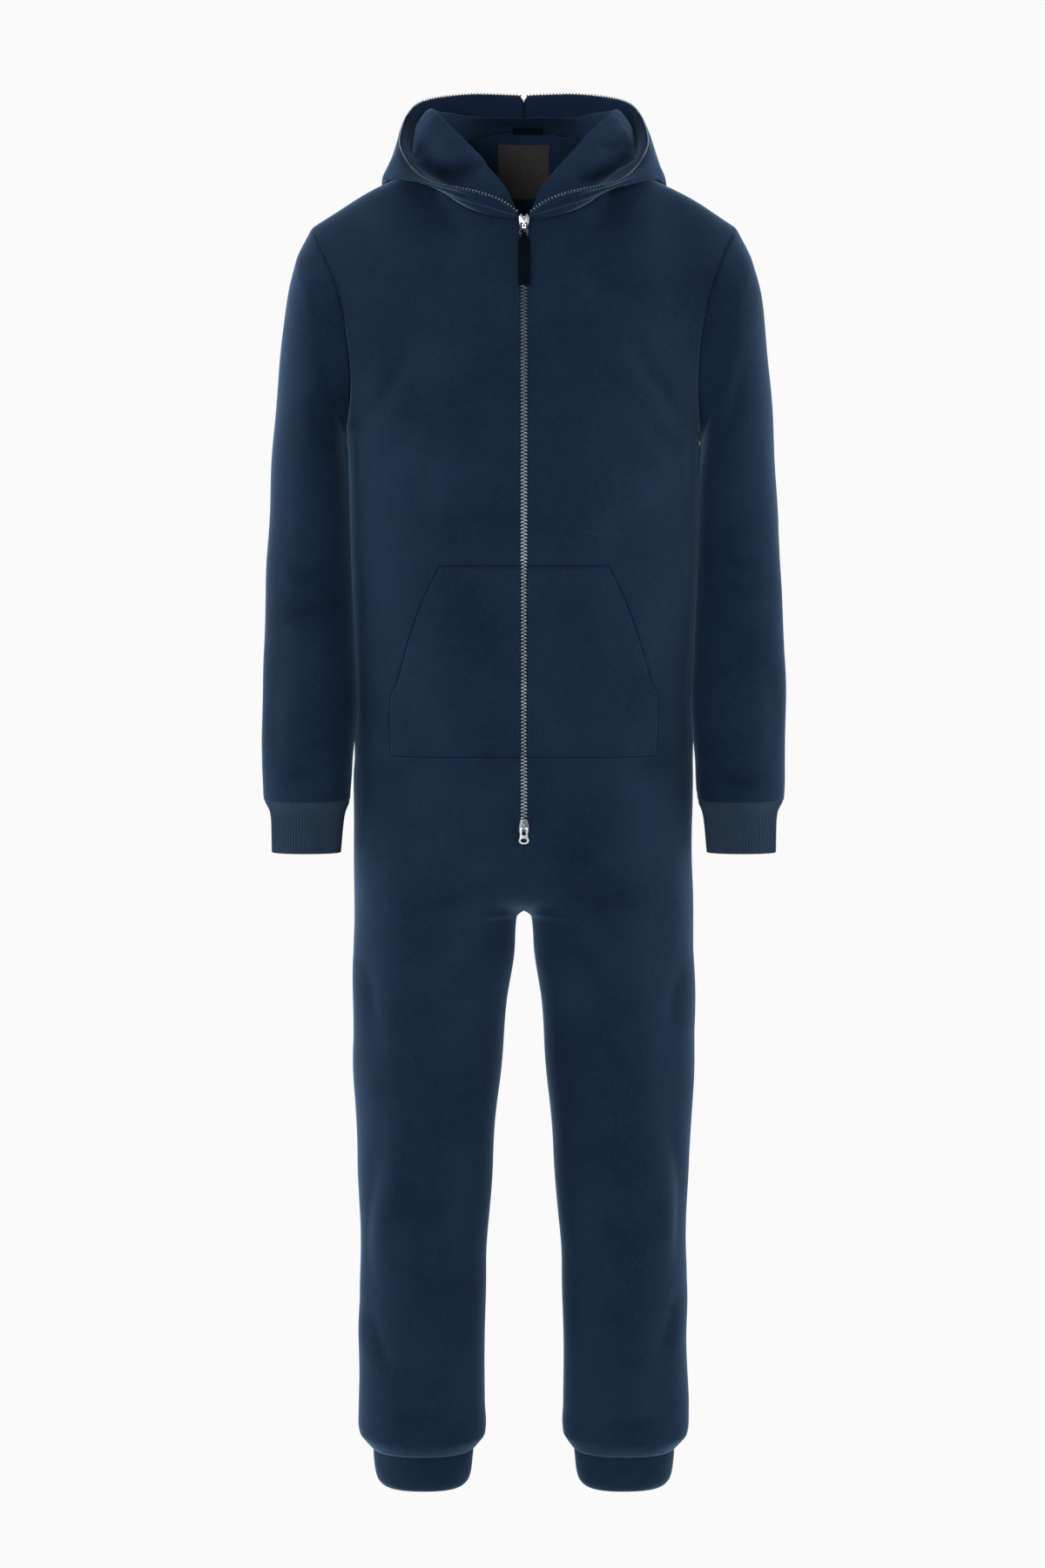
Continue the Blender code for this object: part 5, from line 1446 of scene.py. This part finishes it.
# --- Hardware, label and strap -----------------------------------------------------------------
def bevelled_copy(name, node_name, material, width):
    """The solid's own mesh with its edges rounded over."""
    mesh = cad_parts[node_name].data.copy()
    mesh.name = name
    editable = bmesh.new()
    editable.from_mesh(mesh)
    bmesh.ops.remove_doubles(editable, verts=editable.verts[:], dist=1e-6)
    bmesh.ops.dissolve_limit(
        editable, angle_limit=math.radians(2.0), verts=editable.verts[:], edges=editable.edges[:]
    )
    editable.to_mesh(mesh)
    editable.free()
    mesh.materials.clear()
    mesh.materials.append(material)
    mesh.shade_smooth()
    piece = linked(name, mesh)
    bevel = piece.modifiers.new("rounded_edges", "BEVEL")
    bevel.width, bevel.segments, bevel.limit_method = width * 0.001, 3, "ANGLE"
    bevel.angle_limit = math.radians(30.0)
    bevel.use_clamp_overlap = bevel.harden_normals = True
    return piece


def arched_bar(path, ways, half_width, half_thick):
    """Loops of a rounded bar swept along a path (y, z) in the plane of symmetry."""
    turns = circle(10, 0.5)
    rise = half_thick * np.sin(turns)
    loops = []
    for (y, z), (out_y, out_z), wide in zip(path, ways, half_width):
        loops.append(stack(wide * np.cos(turns), y + out_y * rise, z + out_z * rise))
    return np.array(loops)


def make_slider(name, box, lead, material):
    """Zip slider: two plates with lobes where the chain parts, the sides between, and the bridge."""
    low, high = [np.array(corner) * 1000.0 for corner in box]
    tall, wide = (high[2] - low[2]) / 2, (high[0] - low[0]) / 2
    side = [(0.0, 0.66), (0.2, 0.78), (0.42, 0.96), (0.62, 1.0), (0.84, 0.93), (0.98, 0.7), (0.97, 0.4)]
    side += [(0.86, 0.05), (0.76, -0.4), (0.7, -0.8), (0.6, -0.95), (0.35, -1.0)]
    outline = np.array(side + [(-x, z) for x, z in side[:0:-1]]) * (wide, tall * lead)
    flange = [(0.95, 0.45), (0.97, 0.2), (0.76, -0.5), (0.66, -0.85), (0.5, -0.8), (0.56, -0.4), (0.72, 0.1)]
    front, back = low[1], high[1]
    face = front + 0.42 * (back - front)
    plate = ((face, 0.16), (face + 0.22, 0.05), (face + 0.55, 0.0), (face + 1.1, 0.0), (face + 1.4, 0.06))
    solids = [layered(outline, plate)]
    solids.append(layered(outline, ((back - 1.3, 0.06), (back - 1.0, 0.0), (back - 0.3, 0.0), (back, 0.1))))
    for turn in (-1.0, 1.0):
        sides = np.array(flange) * (wide * turn, tall * lead)
        solids.append(layered(sides, ((face + 0.6, 0.04), (back - 0.5, 0.04))))
    bend = np.linspace(0.0, math.pi, 15)
    rise = (face - front + 0.1) * np.sin(bend) ** 0.7
    path = np.stack([face + 0.3 - rise, 0.62 * tall * np.cos(bend) * lead], axis=1)
    along = unit(np.gradient(path, axis=0))
    ways = np.stack([along[:, 1], -along[:, 0]], axis=1)
    half_width = np.interp(bend, [0, 0.6, 2.4, math.pi], [2.0, 1.35, 1.35, 1.9])
    solids.append(arched_bar(path, ways, half_width, 0.62))
    centre = (low + high) / 2 * (1, 0, 1) + (0.0, 0.0, ORIGIN_HEIGHT)
    points, faces = [], []
    for loops in solids:
        faces += [[len(points) + index for index in loop] for loop in loop_faces(*loops.shape[:2])]
        points += list(loops.reshape(-1, 3) + centre)
    return facing_out(add_mesh(name, points, faces, material))


def inside_of_back(x, heights):
    """Inner face of the back as a grid of points at the named places and heights."""
    shares = np.linspace(0.0, 0.5, 60)
    rows = np.array([yoke_row(BACK, turn, shares) for turn in np.linspace(0.0, math.pi, 120)])
    depth = np.empty((len(heights), len(x)))
    for i, height in enumerate(heights):
        across = [np.interp(-height, -rows[:, j, 2], rows[:, j, 0]) for j in range(len(shares))]
        deep = [np.interp(-height, -rows[:, j, 2], rows[:, j, 1]) for j in range(len(shares))]
        depth[i] = np.interp(np.abs(x), across, deep)
    return stack(x[None, :], depth - FLEECE_WALL - 0.4, heights[:, None])


def make_label(material):
    """Bare square woven label on the inside of the back, its top edge sewn under the neck seam."""
    low, high = [np.array(corner) * 1000.0 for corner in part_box("neck_label")]
    steps = (0.0, 0.5, 1.2, 2.2)
    half = (high[0] - low[0]) / 2
    top, hem = high[2] + ORIGIN_HEIGHT + 1.5, low[2] + ORIGIN_HEIGHT
    x = closer_ends(-half, half, steps, 3.5, 26)
    heights = closer_ends(top, hem, steps, 3.5, 26)
    base = inside_of_back(x, heights)
    ways = -outward(base, False, BACK)
    ways = ways * np.sign(-ways[..., 1:2])
    reach = np.minimum(half - np.abs(x)[None, :], np.minimum(top - heights, heights - hem)[:, None])
    thick = 0.5 + 0.7 * smooth(reach / 1.6)
    loose = 0.5 + 0.45 * np.sin(x / 11.0)[None, :] * smooth((top - heights) / 30.0)[:, None]
    front = base + ways * (thick + loose)[..., None]
    outsides["neck_label_cloth"] = front, ways
    return facing_out(closed_wall("neck_label_cloth", front, base, False, FRONT, material))


# --- Making the garment ------------------------------------------------------------------------
nap = make_nap_group()
weave = make_weave_group()
wear = make_wear_group()

SHEEN = {"Sheen Weight": 0.24, "Sheen Roughness": 0.38, "Sheen Tint": (0.36, 0.62, 1.0, 1.0)}
SHEEN["Specular IOR Level"] = 0.05
MATT = {"Specular IOR Level": 0.12}
METAL = {"Metallic": 1.0}
STRAP = {"Specular IOR Level": 0.02}
LINING = {**SHEEN, "Sheen Weight": 0.12}
KNIT_SCALES = {"Fuzz": 1500.0, "Clumps": 500.0}
THREAD_SCALES = {"Fuzz": 2500.0, "Clumps": 1200.0}
# name, finish group and its scales, dark and light tone, roughness range, relief, shader's constants
FINISHES = (
    ("brushed_navy_fleece", nap, {}, (0.0022, 0.0066, 0.0158), (0.0056, 0.0146, 0.0320),
     (0.9, 1.0), (0.6, 0.0006), SHEEN),
    ("brushed_navy_lining", nap, {"Clumps": 300.0}, (0.0034, 0.0092, 0.0225), (0.0064, 0.0152, 0.0345),
     (0.9, 1.0), (0.5, 0.0005), LINING),
    ("navy_rib_knit", nap, KNIT_SCALES, (0.0078, 0.0155, 0.0275), (0.015, 0.027, 0.0445),
     (0.85, 1.0), (0.5, 0.0004), SHEEN),
    ("navy_woven_tape", weave, {"Threads": 900.0}, (0.003, 0.0055, 0.010), (0.008, 0.013, 0.022),
     (0.6, 0.8), (0.5, 0.0003), MATT),
    ("black_woven_tape", weave, {"Threads": 1100.0}, (0.0145, 0.0135, 0.014), (0.026, 0.0242, 0.025),
     (0.6, 0.8), (0.5, 0.0003), MATT),
    ("navy_black_strap_weave", weave, {"Threads": 1100.0}, (0.0008, 0.0014, 0.0028), (0.002, 0.0032, 0.0058),
     (0.85, 1.0), (0.5, 0.0003), STRAP),
    ("navy_thread", nap, THREAD_SCALES, (0.0010, 0.0026, 0.0062), (0.0024, 0.0056, 0.0125),
     (0.5, 0.7), (0.4, 0.0001), MATT),
    ("black_thread", nap, THREAD_SCALES, (0.006, 0.006, 0.007), (0.016, 0.016, 0.018),
     (0.5, 0.7), (0.4, 0.0001), MATT),
    ("dull_zip_metal", wear, {}, (0.29, 0.335, 0.39), (0.47, 0.53, 0.60), (0.3, 0.55), (0.15, 0.0001), METAL),
    # The hood's teeth: the chain's metal in a darker copy, painted shade for the dimmer light along the
    # hood's rim
    ("shaded_zip_metal", wear, {}, (0.065, 0.08, 0.10), (0.16, 0.19, 0.23), (0.3, 0.55), (0.15, 0.0001), METAL),
    ("gunmetal", wear, {}, (0.06, 0.065, 0.08), (0.14, 0.15, 0.17), (0.25, 0.5), (0.15, 0.0001), METAL),
    ("nickel", wear, {}, (0.22, 0.23, 0.25), (0.4, 0.41, 0.44), (0.22, 0.4), (0.15, 0.0001), METAL),
)
fleece, lining_fleece, rib_knit, tape, black_weave, strap_weave, *others = [surface(*row) for row in FINISHES]
thread, black_thread, teeth_metal, shaded_edge_metal, dark_metal, bright_metal = others

made = {}
for side, mirrored in SIDES:
    made["front_" + side] = make_panel("front_cloth_" + side, FRONT, mirrored, fleece)
    made["back_" + side] = make_panel("back_cloth_" + side, BACK, mirrored, fleece)
    made["sleeve_" + side] = make_sleeve("sleeve_cloth_" + side, mirrored, fleece)
    made["sleeve_cuff_" + side] = make_cuff(
        "sleeve_cuff_knit_" + side, SLEEVE_CUFF, SLEEVE_ROUNDNESS, SLEEVE_RIBS, SLEEVE_RIB_HEIGHT,
        mirrored, rib_knit,
    )
    made["leg_cuff_" + side] = make_cuff(
        "leg_cuff_knit_" + side, LEG_CUFF, LEG_ROUNDNESS, LEG_RIBS, LEG_RIB_HEIGHT, mirrored, fleece
    )
    made["hood_" + side] = make_hood("hood_cloth_" + side, hood_outer_grid, FLEECE_WALL, -1, mirrored, fleece)
    made["hood_lining_" + side] = make_hood(
        "hood_lining_cloth_" + side, hood_lining_grid, LINING_WALL, 0, mirrored, lining_fleece
    )
    made["pocket_" + side] = make_pocket("pocket_cloth_" + side, mirrored, fleece)

repeats = make_repeat_tree()
teeth = [tooth_shape(f"tooth_{i}", lean) for i, lean in enumerate(TOOTH_LEANS)]
stitch = stitch_shape()
for i, rail in enumerate(front_teeth_lines()):
    piece = repeat("front_zip_teeth_" + SIDES[i][0], [rail], teeth[i], TOOTH_PITCH, teeth_metal)
    # Painted shade along the chain, darker above the belly
    paint_chain_shade(piece)
    made[("front_zip", "front_zip_right")[i]] = piece
made["front_zip_tape"] = make_front_tape(tape)
for side, mirrored in SIDES:
    # The hood's teeth in the darker copy of the chain's metal: painted shade
    made["hood_zip_" + side] = repeat(
        "hood_zip_teeth_" + side, hood_teeth_line(mirrored), teeth[2], TOOTH_PITCH, shaded_edge_metal,
        HOOD_TOOTH_SIZE,
    )
    made["hood_tape_" + side] = make_hood_tape("hood_zip_tape_" + side, mirrored, tape)
for place, lead, metal in (("top", 1.0, bright_metal), ("bottom", -1.0, dark_metal)):
    made["slider_" + place] = make_slider(f"slider_{place}_metal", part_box("slider_" + place), lead, metal)
made["pull_top"] = bevelled_copy("pull_top_metal", "pull_top", dark_metal, 0.3)
made["pull_bottom"] = bevelled_copy("pull_bottom_metal", "pull_bottom", bright_metal, 0.3)
made["puller_strap"] = bevelled_copy("puller_strap_weave", "puller_strap", strap_weave, 0.2)
made["neck_label"] = make_label(black_weave)
made["hanger_loop"] = bevelled_copy("hanger_loop_tape", "hanger_loop", strap_weave, 0.2)
for side, _ in SIDES:
    for part, lines in stitch_lines(side).items():
        name = f"{part}_stitches_{side}"
        made[name] = repeat(name, lines, stitch, STITCH_PITCH, thread, STITCH_SIZE, uneven=0.06, seed=7)
edges = ("top", "last", "bottom", "first")
label_lines = [trimmed("neck_label_cloth", edge, LABEL_STITCH, 4, -4) for edge in edges]
made["neck_label_stitches"] = repeat(
    "neck_label_stitches", label_lines, stitch, LABEL_STITCH_PITCH, black_thread, LABEL_STITCH_SIZE,
    uneven=0.05, seed=5,
)
for shape in (*teeth, stitch):
    bpy.data.objects.remove(shape, do_unlink=True)

# Each piece goes on its body by its key, the rest on the garment, and the model's parts that it stands in for
# are hidden
BODIES = {"pull_top": "top_pull", "puller_strap": "top_pull", "pull_bottom": "bottom_pull"}
for key, piece in made.items():
    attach(piece, BODIES.get(key, "garment"))
    if key in ("front_left", "front_right", "back_left", "back_right"):
        part, side = key.split("_")
        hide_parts(key, part + "_hip_" + side, part + "_leg_" + side)
    elif not key.startswith("hood_tape") and "stitches" not in key:
        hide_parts("front_zip" if key.startswith("front_zip") else key)


# --- Studio ------------------------------------------------------------------------------------
# Soft boxes: place, aim, width and height in metres, watts
LIGHTS = {
    "left_softbox": ((-3.4, 0.15, -0.6), (0, 0, -0.85), (2.2, 3.0), 210),
    "right_softbox": ((3.4, -0.25, -0.75), (0, 0, -0.85), (2.2, 2.8), 190),
    "top_softbox": ((0.0, 0.1, 2.8), (0, 0, -0.6), (3.0, 2.0), 66),
    "back_softbox": ((0.0, 3.6, 0.6), (0, 0, -0.7), (3.4, 2.4), 90),
    "front_softbox": ((-1.1, -4.5, -0.2), (0, 0, -0.75), (2.4, 1.5), 158),
}
ROOM_LIGHT = 0.3
CAMERA_PLACE = (-0.001545, -3.59572078, -0.472)
CAMERA_LOOKS_DOWN = 4.1118187
LENS, SENSOR_HEIGHT = 46.667, 24.0
FLOOR_HEIGHT, WALL_REACH, WALL_BEND, WALL_TOP, WALL_SIDES = -1.95, 7.5, 3.0, 6.0, 96
FLOOR_TONE, FLOOR_SEEN = (0.7, 0.7, 0.7), 0.955


def plain(name, colour, seen):
    """Matt pale surface for the light, an even pale tone for the eye."""
    material = bpy.data.materials.new(name)
    material.use_nodes = True
    tree = material.node_tree
    shader = tree.nodes["Principled BSDF"]
    grain = noise(tree, node(tree, "ShaderNodeTexCoord").outputs["Object"], 3.0)
    tone = mixed(tree, grain, (*colour, 1.0), (*[c * 0.99 for c in colour], 1.0))
    tree.links.new(tone, shader.inputs["Base Color"])
    shader.inputs["Roughness"].default_value = 0.9
    shader.inputs["Specular IOR Level"].default_value = 0.0
    even = node(tree, "ShaderNodeEmission", {"Color": (1.0, 1.0, 1.0, 1.0), "Strength": seen})
    sight = node(tree, "ShaderNodeLightPath").outputs["Is Camera Ray"]
    shown = node(tree, "ShaderNodeMixShader", {0: sight, 1: shader.outputs[0], 2: even.outputs[0]})
    tree.links.new(shown.outputs[0], tree.nodes["Material Output"].inputs["Surface"])
    return material


def make_backdrop():
    """Pale round floor that sweeps up into a wall all round."""
    bends = [math.pi / 2 * i / 14 for i in range(1, 15)]
    start, foot = WALL_REACH - WALL_BEND, FLOOR_HEIGHT + WALL_BEND
    profile = [(2.0, FLOOR_HEIGHT), (start, FLOOR_HEIGHT)]
    profile += [(start + WALL_BEND * math.sin(a), foot - WALL_BEND * math.cos(a)) for a in bends]
    profile.append((WALL_REACH, WALL_TOP))
    turns = circle(WALL_SIDES)
    points = [(0.0, 0.0, FLOOR_HEIGHT)]
    points += [(radius * math.cos(a), radius * math.sin(a), z) for radius, z in profile for a in turns]
    faces = []
    for j in range(WALL_SIDES):
        k = (j + 1) % WALL_SIDES
        faces.append((0, 1 + j, 1 + k))
        for a in range(1, 1 + (len(profile) - 1) * WALL_SIDES, WALL_SIDES):
            faces.append((a + k, a + j, a + WALL_SIDES + j, a + WALL_SIDES + k))
    smooth_mesh("pale_floor", points, faces, plain("pale_floor", FLOOR_TONE, FLOOR_SEEN))


make_backdrop()
for name, (place, target, size, watts) in LIGHTS.items():
    data = bpy.data.lights.new(name, "AREA")
    data.shape, data.size, data.size_y, data.energy = "RECTANGLE", *size, watts
    light = linked(name, data)
    light.location = place
    light.rotation_euler = (Vector(target) - Vector(place)).to_track_quat("-Z", "Y").to_euler()
world = bpy.data.worlds.new("studio")
world.use_nodes = True
world.node_tree.nodes["Background"].inputs[0].default_value = (1.0, 1.0, 1.0, 1.0)
world.node_tree.nodes["Background"].inputs[1].default_value = ROOM_LIGHT
scene = bpy.context.scene
scene.world = world
scene.view_settings.view_transform = "Standard"

camera_data = bpy.data.cameras.new("camera")
camera_data.sensor_fit, camera_data.sensor_height, camera_data.lens = "VERTICAL", SENSOR_HEIGHT, LENS
camera = linked("camera", camera_data)
camera.location = CAMERA_PLACE
camera.rotation_euler = (math.radians(90.0 - CAMERA_LOOKS_DOWN), 0.0, 0.0)
scene.camera = camera
